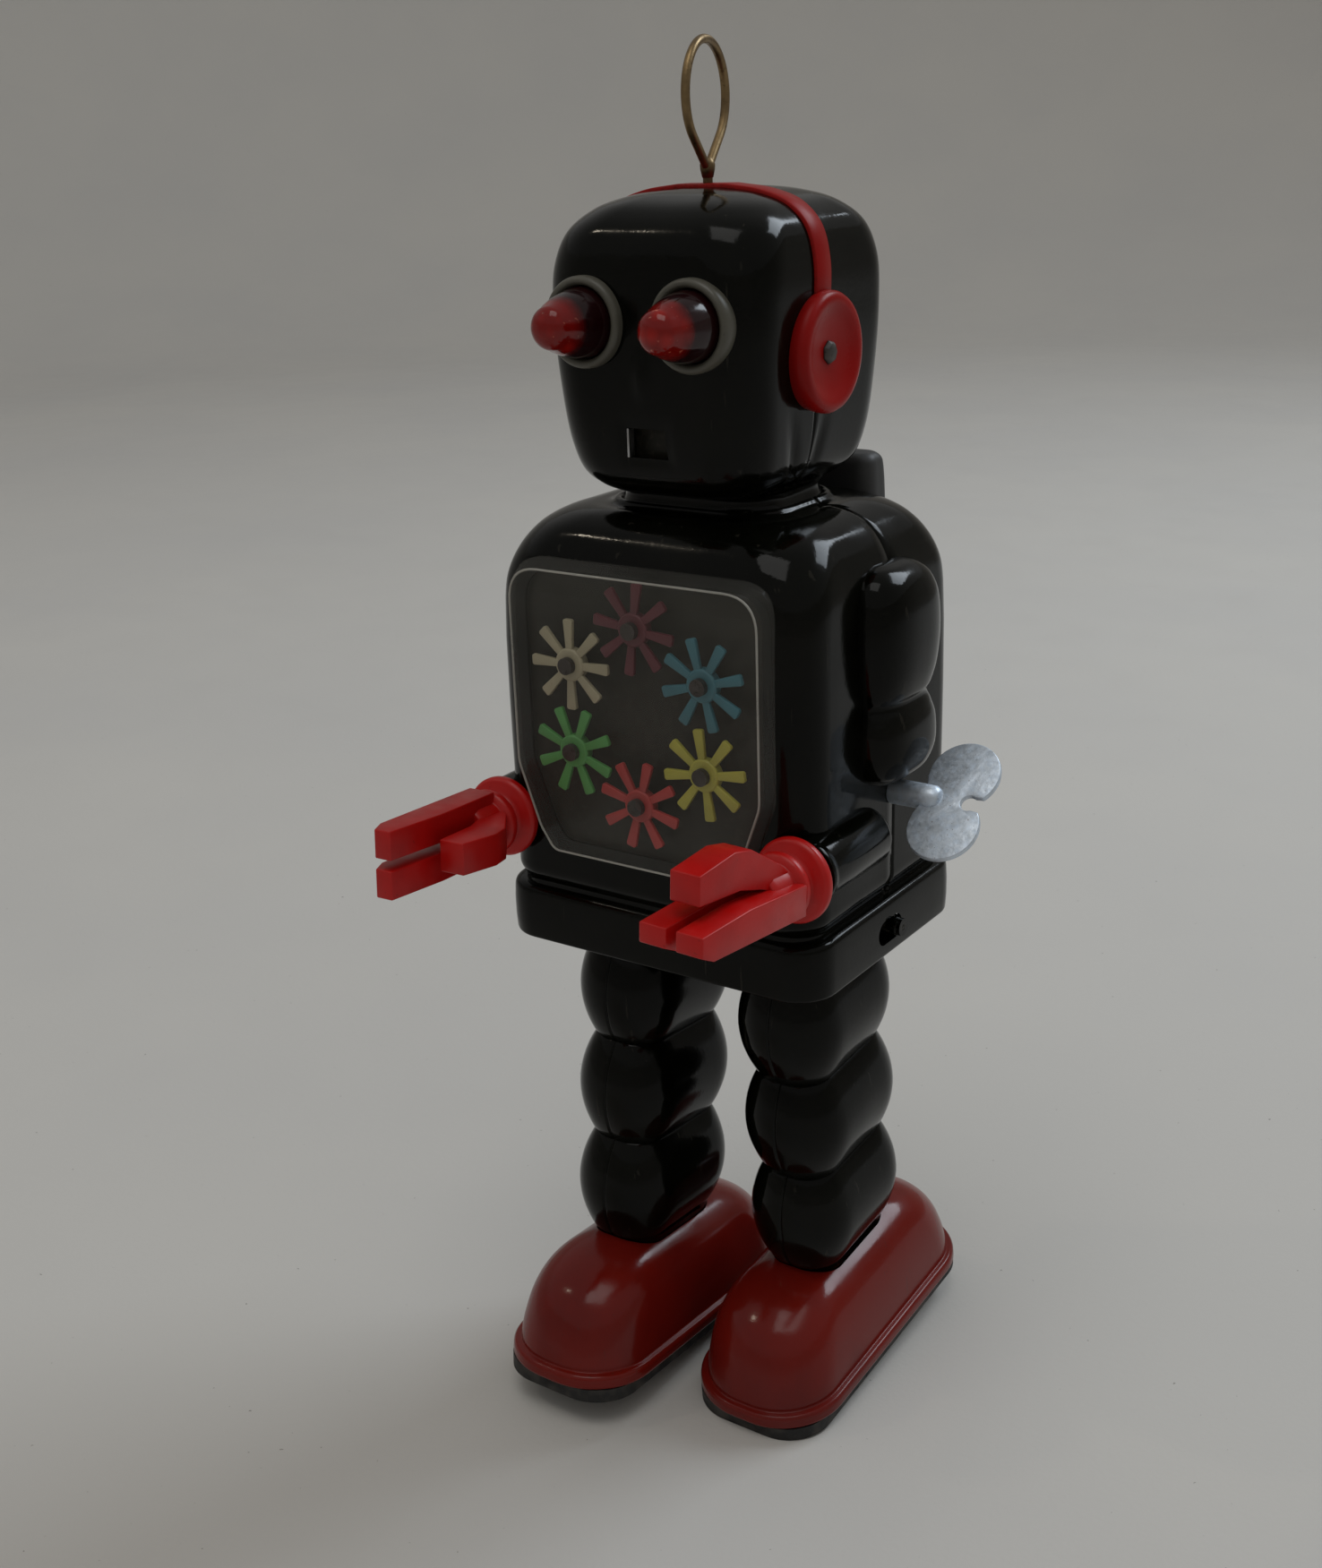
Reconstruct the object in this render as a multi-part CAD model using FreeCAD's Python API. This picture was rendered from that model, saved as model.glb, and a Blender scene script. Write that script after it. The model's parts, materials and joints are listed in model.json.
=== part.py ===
import FreeCAD, Part
import math
import os

# A tin wind-up robot, in millimetres.  It faces -Y, +Z is up and +X is its own left side.
# Every piece is drawn about the robot's middle plane with the floor at z = 0; the whole is then
# moved so that the origin lies on the floor, under the middle of its bounding box.

Vector = FreeCAD.Vector
ORIGIN, X, Y, Z = Vector(0, 0, 0), Vector(1, 0, 0), Vector(0, 1, 0), Vector(0, 0, 1)
SIDES = {"left": 1, "right": -1}

# ---------------------------------------------------------------- driving dimensions
WALL = 0.7                    # pressed tin, paint included
FIT = 0.05                    # radial clearance of a shaft in its hole
GAP = 0.3                     # least gap between pieces that move past each other

SKIRT_HALF_WIDTH, SKIRT_HALF_DEPTH, SKIRT_CORNER = 33.0, 26.9, 7.5
SKIRT_BOTTOM, SKIRT_TOP, LEDGE_WIDTH = 94.0, 104.5, 2.0

# Each outline is (height, half width, half depth, corner radius).
TORSO = [(SKIRT_TOP, 31.2, 26.0, 7.0), (107.5, 32.0, 26.8, 8.0), (160, 32.0, 26.8, 8.5),
         (164.5, 31.4, 26.3, 9.5), (168.5, 29.8, 25.0, 10.5), (171.5, 27.2, 22.8, 10.8),
         (173.8, 23.2, 19.6, 10.0), (175, 17.5, 15.5, 9.0)]
TORSO_SEAM_Y, SHOULDER_Z = 2.5, 160
HEAD = [(178, 16.0, 18.5, 8.5), (180.5, 18.4, 21.4, 9.0), (186, 19.5, 23.0, 9.5),
        (196, 20.7, 23.9, 9.5), (208, 21.5, 24.2, 9.5), (215, 21.7, 24.0, 10.0),
        (220.5, 20.3, 22.6, 10.5), (224.5, 16.6, 19.0, 10.0), (226.5, 10.5, 12.5, 7.0),
        (227.2, 5.0, 6.5, 3.5)]
COLLAR_HALF_WIDTH, COLLAR_HALF_DEPTH, COLLAR_CORNER, COLLAR_WALL = 15.5, 14.0, 8.0, 1.6

EYE_X, EYE_Z, BEZEL_RADIUS, BEZEL_FRONT_Y = 10.5, 207.1, 7.5, -26.0
LENS_RADIUS, LENS_TIP_RADIUS, LENS_TIP_Y, LENS_BACK_Y, LENS_WALL = 5.8, 3.7, -36.2, -23.0, 1.0
MOUTH_HALF_WIDTH, MOUTH_LOW, MOUTH_HIGH = 3.9, 185.0, 190.0

EAR_Y, EAR_Z, EAR_RADIUS, EAR_OUTER_X, EAR_DISH = -2.5, 201.0, 10.0, 24.3, 1.1
BAND_WIDTH, BAND_THICKNESS, RIVET_RADIUS = 5.7, 0.6, 1.4

ANTENNA_WIRE, ANTENNA_LOOP, ANTENNA_TOP, ANTENNA_FORK, ANTENNA_TWIST = 0.75, 8.6, 251.0, 230.0, 10.7

BACKPACK_HALF_WIDTH, BACKPACK_LOW, BACKPACK_HIGH, BACKPACK_CORNER = 15.5, 120.0, 179.0, 3.0
BACKPACK_Y, BACKPACK_HALF_DEPTH = 29.2, 4.0

WINDOW_HALF_WIDTH, WINDOW_LOW, WINDOW_HIGH, WINDOW_CORNER = 26.6, 113.0, 167.2, 7.0
WINDOW_WAIST, WINDOW_KNEE, WINDOW_FOOT = (26.6, 130.0), (22.4, 118.0), 19.0
WINDOW_FRONT_Y, WINDOW_WALL, WINDOW_TAPER, WINDOW_LIP = -32.0, 0.8, 1.2, 3.0
CHEST_PLATE_Y = (-26.0, -25.2)

STAR_RING_RADIUS, STAR_RING_Z, STAR_SPOKES = 15.8, 141.4, 8
STAR_TIP_RADIUS, STAR_HUB_RADIUS, STAR_SPOKE_WIDTH, STAR_PIN_RADIUS = 8.2, 2.7, 1.5, 0.9
STAR_Y, STAR_PIN_Y, STAR_HEAD_RADIUS = (-29.2, -28.2), (-30.6, -29.5), 1.5
# name: (place round the ring, turn of the spokes), both in degrees from +X towards +Z
STARS = {"top": (90, 37.5), "upper_left": (30, 15.0), "lower_left": (-30, 7.5),
         "bottom": (-90, 30.0), "lower_right": (-150, 22.5), "upper_right": (150, 0.0)}
DRIVEN_STAR = "bottom"

# Upper arm outlines: (height, reach beyond the torso's side, half depth)
UPPER_ARM = [(169.0, 2.0, 5.0), (166.0, 5.7, 9.4), (155.5, 8.2, 11.6), (146.0, 7.0, 10.8),
             (142.2, 5.6, 9.6), (139.0, 6.6, 10.2), (134.0, 7.6, 10.8), (130.4, 6.6, 9.6),
             (127.1, 3.6, 6.5)]
UPPER_ARM_X, UPPER_ARM_Y, ARM_WALL = 31.5, 1.0, 0.6
FOREARM_X, FOREARM_Z, FOREARM_RADIUS, FOREARM_Y = 32.2, 118.8, 5.7, (-27.2, -5.0)

WRIST_X, WRIST_Y, WRIST_Z = 31.0, -28.2, 118.0
HAND_IN, HAND_UP = 3.0, 4.0              # lean of the hand's axis, in degrees
HAND_FLANGE, HAND_COLLAR, HAND_HUB = 7.5, 6.0, 4.6
FINGER_OFFSET, FINGER_WIDTH, FINGER_HEIGHT, FINGER_LENGTH = 3.55, 5.3, 5.6, 34.8
THUMB_WIDTH, THUMB_LENGTH = 6.0, 34.5
HAND_PEG, HAND_PEG_RADIUS, WRIST_HOLE = 4.0, 2.2, 2.8
HAND_ROLL = {"left": 0, "right": -90}    # turn of the same moulding in each cuff, in degrees

SWING = 4.9                   # stride of each leg in the stored stance, in degrees
HIP_Z, HIP_RADIUS, LEG_X = 100.0, 1.2, 17.0
SOLE_HALF_WIDTH, SOLE_HALF_LENGTH, SOLE_CORNER, SOLE_THICKNESS = 13.8, 34.5, 9.0, 2.6
SOLE_BOTTOM = HIP_Z - (HIP_Z - SOLE_HALF_LENGTH * math.sin(math.radians(SWING))) / math.cos(
    math.radians(SWING))
SOLE_TOP = SOLE_BOTTOM + SOLE_THICKNESS
FOOT_FLANGE = (SOLE_TOP, 15.0, 35.6, 11.0)
FLANGE_THICKNESS = 1.0
FOOT = [(SOLE_TOP + 0.9, 13.3, 33.8, 10.5), (11, 13.0, 33.2, 11.0), (17, 11.8, 31.0, 10.8),
        (22, 9.6, 27.2, 9.0), (25.5, 6.6, 22.0, 6.0), (27, 3.2, 16.5, 2.8)]
LEG_HALF_WIDTH, LEG_HALF_DEPTH, LEG_CORNER, LEG_BULGE = 8.0, 14.6, 5.0, 2.7
LEG_VALLEY_Z, LEG_PITCH, LEG_BULGES = 25.5, 20.8, 3
LEG_FOOT = [(19.5, 6.2, 9.5, 4.4), (22.5, 7.0, 11.8, 4.8)]
LEG_TOP = [(96.0, 7.6, 12.0, 5.0), (103.0, 7.0, 7.5, 4.5)]
ROLLER_Y, ROLLER_RADIUS, ROLLER_HALF_WIDTH, ROLLER_AXLE, ROLLER_DROP = -16.0, 2.8, 3.2, 0.8, 0.5

KEY_Y, KEY_Z, KEY_TILT = 2.0, 124.5, 40.0
KEY_LOBE, KEY_LOBE_OFFSET, KEY_PLATE, KEY_TUBE = 5.8, 5.9, 1.2, 2.3
KEY_TUBE_X, KEY_PLATE_X = (32.8, 43.3), (40.8, 50.8)

# Clockwork: wheels lie square to X between two plates; an arbor is given as (y, z).
PLATE_X, PLATE_THICKNESS, PLATE_Y, PLATE_Z = 12.0, 0.8, (-18.0, 17.0), (105.6, 152.0)
PILLARS, PILLAR_RADIUS = [(-14.5, 109.0), (14.5, 109.0), (-3.0, 149.5), (14.0, 149.5)], 1.4
LEAVES = 8
GREAT_TEETH, GREAT_MODULE, GREAT_X = 40, 0.6, (7.0, 8.2)
SECOND_TEETH, SECOND_MODULE, SECOND_X = 32, 0.5, (5.0, 6.0)
CROWN_TEETH, CROWN_RADIUS, CROWN_X, CROWN_TOOTH_X = 16, 4.9, (3.4, 4.4), (2.0, 3.4)
ESCAPE_TEETH, ESCAPE_RADIUS, ESCAPE_X = 12, 5.5, (9.3, 10.2)
DISTANCE = GREAT_MODULE * (GREAT_TEETH + LEAVES) / 2
KEY_ARBOR = (KEY_Y, KEY_Z)
CRANK_ARBOR = (0.0, KEY_Z - math.sqrt(DISTANCE ** 2 - KEY_Y ** 2))
SECOND_ARBOR = (KEY_Y - math.sqrt(DISTANCE ** 2 - (STAR_RING_Z - STAR_RING_RADIUS - KEY_Z) ** 2),
                STAR_RING_Z - STAR_RING_RADIUS)
ESCAPE_ARBOR = (SECOND_ARBOR[0], SECOND_ARBOR[1] + SECOND_MODULE * (SECOND_TEETH + LEAVES) / 2)
VERGE_ARBOR = (ESCAPE_ARBOR[0], ESCAPE_ARBOR[1] + 8.6)
VERGE_SPAN = 37.5             # half the angle between the pallets, seen from the escape wheel
ARBOR_RADIUS, PIVOT_RADIUS, KEY_ARBOR_RADIUS, KEY_SHAFT_RADIUS = 1.0, 0.6, 2.0, 1.5
RATCHET_TEETH, RATCHET_RADIUS, RATCHET_X = 12, 5.0, (8.5, 9.6)
CRANK_THROW, CRANK_PIN, CRANK_DISC, CRANK_DISC_X = 1.5, 0.7, 3.2, (13.2, 14.4)
LEVER_X, LEVER_HALF_WIDTH, LEVER_TOP, HIP_TUBE = (15.8, 16.8), 3.0, 114.5, 1.8
SPRING_TURNS, SPRING_STRIP, SPRING_PITCH, SPRING_X = 7, 0.4, 1.2, (-9.5, 1.4)
SPRING_GAP = 0.05                         # between the spring's first turn and the arbor
PINION_Y = (-18.8, -16.4)

HIP_PLATE_Z, HIP_PLATE_X, HIP_PLATE_Y, HIP_EAR = (104.9, 105.6), 29.0, 9.0, 0.8
HIP_STRAP = 7.0
STOP_PIVOT, STOP_ARM_X, STOP_KNOB_Z, STOP_KNOB_RADIUS = (1.5, 118.0), (29.4, 30.1), 98.8, 1.65
STOP_KNOB_X, STOP_SLOT_Y, STOP_SLOT_HALF, STOP_INNER_X = 35.8, (-2.6, 1.5), 2.3, (10.6, 11.4)


# ---------------------------------------------------------------- helpers
def block(x, y, z):
    """A box between two values on each axis."""
    return Part.makeBox(x[1] - x[0], y[1] - y[0], z[1] - z[0], Vector(x[0], y[0], z[0]))


def rod_x(radius, x, centre):
    """A round bar along X at centre = (y, z)."""
    return Part.makeCylinder(radius, x[1] - x[0], Vector(x[0], *centre), X)


def rod_y(radius, y, centre):
    """A round bar along Y at centre = (x, z)."""
    return Part.makeCylinder(radius, y[1] - y[0], Vector(centre[0], y[0], centre[1]), Y)


def joined(first, *others):
    """One solid from pieces that overlap."""
    return first.fuse(list(others)).removeSplitter()


def on_side(shape, side):
    """A piece drawn on the left, or its mirror image on the right."""
    return shape if side == "left" else shape.mirror(ORIGIN, X)


def polar(centre, radius, degrees):
    """A point on a circle, by its angle from the first axis towards the second."""
    a = math.radians(degrees)
    return centre[0] + radius * math.cos(a), centre[1] + radius * math.sin(a)


def angle_to(start, end):
    return math.degrees(math.atan2(end[1] - start[1], end[0] - start[0]))


def rounded_outline(z, half_width, half_depth, corner):
    """A rounded rectangle as a wire at height z."""
    x, y = half_width - corner, half_depth - corner
    edges, last = [], None
    for quarter in range(4):
        centre = (x if quarter in (0, 3) else -x, y if quarter < 2 else -y)
        start, middle, end = (Vector(*polar(centre, corner, 90 * quarter + a), z)
                              for a in (0, 45, 90))
        if last:
            edges.append(Part.makeLine(last, start))
        edges.append(Part.Arc(start, middle, end).toShape())
        last = end
    edges.append(Part.makeLine(last, Vector(half_width, y, z)))
    return Part.Wire(edges)


def lofted(outlines):
    """A closed solid through rounded rectangles, lowest first."""
    return Part.makeLoft([rounded_outline(*o) for o in outlines], True, True)


def shrunk(outlines, wall):
    """The outlines inside a skin of that wall; a negative wall gives a cover outside it."""
    low, high = outlines[0][0], outlines[-1][0]
    squeeze = (high - low - 2 * wall) / (high - low)
    return [(low + wall + (z - low) * squeeze, w - wall, d - wall, max(r - wall, 0.5))
            for z, w, d, r in outlines]


def prism_x(points, x):
    """A plate square to X with that outline of (y, z) points."""
    corners = [Vector(x[0], y, z) for y, z in points]
    return Part.Face(Part.makePolygon([*corners, corners[0]])).extrude(X * (x[1] - x[0]))


def bar_x(start, end, half_width, x):
    """A flat bar with round ends from one (y, z) point to another, square to X."""
    length = math.dist(start, end)
    bar = joined(block(x, (0, length), (-half_width, half_width)),
                 rod_x(half_width, x, (0, 0)), rod_x(half_width, x, (length, 0)))
    bar.rotate(ORIGIN, X, angle_to(start, end))
    bar.translate(Vector(0, *start))
    return bar


def toothed_wheel(teeth, module, x, centre, start, bore=0):
    """A spur wheel square to X, with a tooth that points at the angle start."""
    pitch_radius = teeth * module / 2
    tip, root = pitch_radius + 0.85 * module, pitch_radius - 1.1 * module
    flank = ((root, -0.26), (pitch_radius, -0.21), (tip, -0.1),
             (tip, 0.1), (pitch_radius, 0.21), (root, 0.26))
    step = 360 / teeth
    wheel = prism_x([polar(centre, radius, start + (i + share) * step)
                     for i in range(teeth) for radius, share in flank], x)
    return wheel.cut(rod_x(bore, (x[0] - 1, x[1] + 1), centre)) if bore else wheel


def saw_wheel(teeth, radius, depth, x, centre, start, bore=0):
    """A wheel of pointed teeth that lean one way, as on a ratchet or an escape wheel."""
    step, points = 360 / teeth, []
    for i in range(teeth):
        points += [polar(centre, radius, start + i * step),
                   polar(centre, radius, start + (i + 0.08) * step),
                   polar(centre, radius - depth, start + (i + 0.25) * step)]
    wheel = prism_x(points, x)
    return wheel.cut(rod_x(bore, (x[0] - 1, x[1] + 1), centre)) if bore else wheel


# ---------------------------------------------------------------- head
def head_pieces():
    outer, hollow = lofted(HEAD), lofted(shrunk(HEAD, WALL))
    eyes = [(s * EYE_X, EYE_Z) for s in SIDES.values()]
    shell = outer.cut([hollow, *(rod_y(LENS_RADIUS + WALL, (-40, -10), eye) for eye in eyes),
                       block((-MOUTH_HALF_WIDTH, MOUTH_HALF_WIDTH), (-40, -15),
                             (MOUTH_LOW, MOUTH_HIGH)),
                       Part.makeCylinder(ANTENNA_WIRE, 10, Vector(0, EAR_Y, 220), Z)])
    front = block((-40, 40), (-60, EAR_Y), (150, 260))
    rear = block((-40, 40), (EAR_Y, 60), (150, 260))
    pieces = {"head_front_shell": shell.common(front), "head_rear_shell": shell.common(rear)}

    cover = lofted(shrunk(HEAD, -BAND_THICKNESS)).cut(outer)
    ear_centre = (EAR_Y, EAR_Z)
    ears = [rod_x(EAR_RADIUS, (-40, 40), ear_centre)]
    strip = block((-40, 40), (EAR_Y - BAND_WIDTH / 2, EAR_Y + BAND_WIDTH / 2), (EAR_Z, 240))
    stem_hole = Part.makeCylinder(ANTENNA_WIRE, 10, Vector(0, EAR_Y, 222), Z)
    pieces["head_band"] = cover.common(strip).cut([*ears, stem_hole])

    rivets = []
    for side in SIDES:
        disc = rod_x(EAR_RADIUS, (18, EAR_OUTER_X), ear_centre)
        ball = (EAR_RADIUS - 1.6) ** 2 / (2 * EAR_DISH) + EAR_DISH / 2
        dish = Part.makeSphere(ball, Vector(EAR_OUTER_X - EAR_DISH + ball, *ear_centre))
        disc = disc.makeFillet(0.8, [e for e in disc.Edges if e.BoundBox.XMin > EAR_OUTER_X - 0.1])
        disc = disc.cut([outer, dish, rod_x(RIVET_RADIUS, (15, 30), ear_centre)])
        rivet_face = EAR_OUTER_X - EAR_DISH + 0.9
        rivet = rod_x(RIVET_RADIUS, (EAR_OUTER_X - 5.5, rivet_face), ear_centre).cut(outer)
        pieces["ear_disc_" + side] = on_side(disc, side)
        rivets.append(on_side(rivet, side))

        bezel_ring = rod_y(BEZEL_RADIUS, (BEZEL_FRONT_Y, -20), (EYE_X, EYE_Z))
        bezel_ring = bezel_ring.makeFillet(
            0.7, [e for e in bezel_ring.Edges if e.BoundBox.YMax < BEZEL_FRONT_Y + 0.1])
        sleeve = rod_y(LENS_RADIUS + WALL, (BEZEL_FRONT_Y + 1, -21.5), (EYE_X, EYE_Z))
        bore = rod_y(LENS_RADIUS, (-40, -10), (EYE_X, EYE_Z))
        bezel = joined(bezel_ring.cut(outer), sleeve).cut(bore)
        pieces["eye_bezel_" + side] = on_side(bezel, side)
        pieces["eye_lens_" + side] = on_side(eye_lens(), side)
    pieces["ear_rivets"] = Part.Compound(rivets)
    pieces["antenna"] = antenna()
    collar = (COLLAR_HALF_WIDTH, COLLAR_HALF_DEPTH, COLLAR_CORNER)
    inner = tuple(size - COLLAR_WALL for size in collar)
    low, high = TORSO[-1][0], HEAD[0][0]
    pieces["neck_collar"] = lofted([(low, *collar), (high, *collar)]).cut(
        lofted([(low - 1, *inner), (high + 1, *inner)]))
    return pieces


def eye_lens():
    """A hollow cone with a round tip that points forwards."""
    def cone(radius, tip_radius, tip_y, back_y):
        shoulder = tip_y + tip_radius
        points = [(0, back_y), (radius, back_y), (radius, LENS_BACK_Y - 3.4), (tip_radius, shoulder)]
        points = [Vector(r, y, 0) for r, y in points]
        tip = Part.Arc(points[-1], Vector(tip_radius * math.sqrt(0.5),
                                          shoulder - tip_radius * math.sqrt(0.5), 0),
                       Vector(0, tip_y, 0)).toShape()
        lines = [Part.makeLine(a, b) for a, b in zip(points, points[1:])]
        profile = Part.Wire([*lines, tip, Part.makeLine(Vector(0, tip_y, 0), points[0])])
        return Part.Face(profile).revolve(ORIGIN, Y, 360)
    lens = cone(LENS_RADIUS, LENS_TIP_RADIUS, LENS_TIP_Y, LENS_BACK_Y)
    lens = lens.cut(cone(LENS_RADIUS - LENS_WALL, LENS_TIP_RADIUS - LENS_WALL,
                         LENS_TIP_Y + LENS_WALL, LENS_BACK_Y + 1))
    lens.translate(Vector(EYE_X, 0, EYE_Z))
    return lens


def antenna():
    """A wire stem that opens into a loop shaped like a drop."""
    centre_z = ANTENNA_TOP - ANTENNA_WIRE - ANTENNA_LOOP
    reach = centre_z - ANTENNA_FORK
    lean = math.degrees(math.asin(ANTENNA_LOOP / reach))
    loop_centre = (0, centre_z)
    right, left = polar(loop_centre, ANTENNA_LOOP, -lean), polar(loop_centre, ANTENNA_LOOP, 180 + lean)
    fork, at = Vector(0, 0, ANTENNA_FORK), lambda p: Vector(0, *p)
    arc = Part.Arc(at(right), at(polar(loop_centre, ANTENNA_LOOP, 90)), at(left)).toShape()
    pieces = []
    for path in ([Part.makeLine(fork, at(right)), arc], [Part.makeLine(at(left), fork)],
                 [Part.makeLine(Vector(0, 0, HEAD[-1][0] - 2.0), fork)]):
        spine = Part.Wire(path)
        start, along = path[0].Vertexes[0].Point, path[0].tangentAt(path[0].FirstParameter)
        circle = Part.Wire(Part.makeCircle(ANTENNA_WIRE, start, along))
        pieces.append(spine.makePipeShell([circle], True, True))
    loop = joined(*pieces, Part.makeSphere(ANTENNA_WIRE * 1.25, fork))
    loop.rotate(ORIGIN, Z, ANTENNA_TWIST)
    loop.translate(Vector(0, EAR_Y, 0))
    return loop


# ---------------------------------------------------------------- torso
def torso_forms():
    """The torso's outer form, and its hollow, which is open at the bottom."""
    inner = [(z - (WALL if z > SHOULDER_Z else 0), w - WALL, d - WALL, r - WALL)
             for z, w, d, r in TORSO]
    base = (SKIRT_TOP - 2, *inner[0][1:])
    return lofted(TORSO), lofted([base, *inner])


def window_outline(y, inset):
    """The chest window's outline: round upper corners and slanted lower ones."""
    half, top = WINDOW_HALF_WIDTH - inset, WINDOW_HIGH - inset
    low, corner = WINDOW_LOW + inset, WINDOW_CORNER - inset / 2
    right = [(WINDOW_FOOT - inset / 2, low), (WINDOW_KNEE[0] - inset, WINDOW_KNEE[1] + inset / 3),
             (WINDOW_WAIST[0] - inset, WINDOW_WAIST[1]), (half, top - corner)]
    at = lambda p: Vector(p[0], y, p[1])
    mirror = [(-x, z) for x, z in right]
    edges = [Part.makeLine(at(a), at(b)) for a, b in zip(right, right[1:])]
    edges.append(Part.Arc(at(right[-1]), at(polar((half - corner, top - corner), corner, 45)),
                          at((half - corner, top))).toShape())
    edges.append(Part.makeLine(at((half - corner, top)), at((corner - half, top))))
    edges.append(Part.Arc(at((corner - half, top)),
                          at(polar((corner - half, top - corner), corner, 135)),
                          at(mirror[-1])).toShape())
    back = mirror[::-1]
    edges += [Part.makeLine(at(a), at(b)) for a, b in zip(back, back[1:])]
    edges.append(Part.makeLine(at(mirror[0]), at(right[0])))
    return Part.Wire(edges)


def torso_pieces():
    outer, hollow = torso_forms()
    opening = Part.Face(window_outline(-40, WINDOW_LIP)).extrude(Vector(0, 16, 0))
    neck = Part.makeCylinder(8, 20, Vector(0, 0, 165), Z)
    cuffs = [on_side(rod_y(WRIST_HOLE, (-40, WRIST_Y + HAND_PEG + 1), (WRIST_X, WRIST_Z)), side)
             for side in SIDES]
    shell = outer.cut([hollow, opening, neck, *cuffs])
    front = shell.common(block((-60, 60), (-60, TORSO_SEAM_Y), (90, 190)))
    rear = shell.common(block((-60, 60), (TORSO_SEAM_Y, 60), (90, 190)))
    key_hole = rod_x(KEY_SHAFT_RADIUS + 0.5, (25, 40), KEY_ARBOR)
    pieces = {"torso_front_shell": front.cut(key_hole), "torso_rear_shell": rear.cut(key_hole)}

    form = [(BACKPACK_LOW, BACKPACK_HALF_WIDTH, BACKPACK_HALF_DEPTH, BACKPACK_CORNER),
            (BACKPACK_HIGH - 1.5, BACKPACK_HALF_WIDTH, BACKPACK_HALF_DEPTH, BACKPACK_CORNER),
            (BACKPACK_HIGH, BACKPACK_HALF_WIDTH - 1.5, BACKPACK_HALF_DEPTH - 1.5, BACKPACK_CORNER - 1)]
    pack, inside = lofted(form), lofted(shrunk(form, WALL))
    for shape in (pack, inside):
        shape.translate(Y * BACKPACK_Y)
    pieces["backpack"] = pack.cut([inside, outer])

    window = Part.makeLoft([window_outline(-25.0, -0.6), window_outline(WINDOW_FRONT_Y, WINDOW_TAPER)],
                           True, True)
    void = Part.makeLoft([window_outline(-24.0, WINDOW_WALL - 0.7),
                          window_outline(WINDOW_FRONT_Y + WINDOW_WALL, WINDOW_TAPER + WINDOW_WALL)],
                         True, True)
    pieces["chest_window"] = window.cut([void, outer])

    plate = Part.Face(window_outline(CHEST_PLATE_Y[0], 1.0)).extrude(
        Y * (CHEST_PLATE_Y[1] - CHEST_PLATE_Y[0])).common(hollow)
    drive_at = (0, STAR_RING_Z - STAR_RING_RADIUS)
    bush = rod_y(2.3, (CHEST_PLATE_Y[0], -20.8), drive_at)
    pieces["chest_plate"] = joined(plate, bush).cut(
        [rod_y(STAR_PIN_RADIUS + FIT, (-40, 0), drive_at),
         *(rod_y(STAR_PIN_RADIUS, (-40, 0), star_centre(n)) for n in STARS if n != DRIVEN_STAR)])

    side = (SKIRT_HALF_WIDTH, SKIRT_HALF_DEPTH, SKIRT_CORNER)
    inner = tuple(size - WALL for size in side)
    ledge = tuple(size - LEDGE_WIDTH for size in side)
    skirt = lofted([(SKIRT_BOTTOM, *side), (SKIRT_TOP, *side)]).cut(
        [lofted([(SKIRT_BOTTOM - 1, *inner), (SKIRT_TOP - WALL, *inner)]),
         lofted([(SKIRT_BOTTOM, *ledge), (SKIRT_TOP + 1, *ledge)])])
    slot = [rod_x(STOP_SLOT_HALF, (25, 40), (y, STOP_KNOB_Z)) for y in STOP_SLOT_Y]
    middle = block((25, 40), STOP_SLOT_Y, (STOP_KNOB_Z - STOP_SLOT_HALF, STOP_KNOB_Z + STOP_SLOT_HALF))
    pieces["skirt"] = skirt.cut(joined(*slot, middle))
    return pieces


def star_centre(name):
    """The (x, z) place of a chest wheel."""
    return polar((0, STAR_RING_Z), STAR_RING_RADIUS, STARS[name][0])


def chest_pieces():
    pieces, pins = {}, []
    for name, (place, turn) in STARS.items():
        x, z = star_centre(name)
        bore = STAR_PIN_RADIUS + (0 if name == DRIVEN_STAR else FIT)
        spokes = []
        for i in range(STAR_SPOKES):
            spoke = block((0, STAR_TIP_RADIUS), STAR_Y, (-STAR_SPOKE_WIDTH / 2, STAR_SPOKE_WIDTH / 2))
            spoke.rotate(ORIGIN, Y, -(turn + i * 360 / STAR_SPOKES))
            spoke.translate(Vector(x, 0, z))
            spokes.append(spoke)
        hub = rod_y(STAR_HUB_RADIUS, (STAR_Y[0] - 0.2, STAR_Y[1] + 0.9), (x, z))
        star = joined(hub, *spokes).cut(rod_y(bore, (-40, 0), (x, z)))
        pieces["chest_wheel_" + name] = star
        pin_back = PINION_Y[1] if name == DRIVEN_STAR else CHEST_PLATE_Y[1]
        pin = joined(rod_y(STAR_PIN_RADIUS, (STAR_PIN_Y[0], pin_back), (x, z)),
                     rod_y(STAR_HEAD_RADIUS, STAR_PIN_Y, (x, z)))
        if name == DRIVEN_STAR:
            pieces["chest_drive_shaft"] = joined(pin, chest_pinion((x, z)))
        else:
            pins.append(pin)
    pieces["chest_wheel_pins"] = Part.Compound(pins)
    return pieces


def chest_pinion(centre):
    """The pinion behind the chest that the crown wheel turns; a gap faces the crown's tooth."""
    module = 2 * CROWN_RADIUS / CROWN_TEETH
    pinion = toothed_wheel(LEAVES, module, (0, PINION_Y[1] - PINION_Y[0]), (0, 0), 22.5)
    pinion.rotate(ORIGIN, Z, 90)
    pinion.translate(Vector(centre[0], PINION_Y[0], centre[1]))
    return pinion


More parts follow.
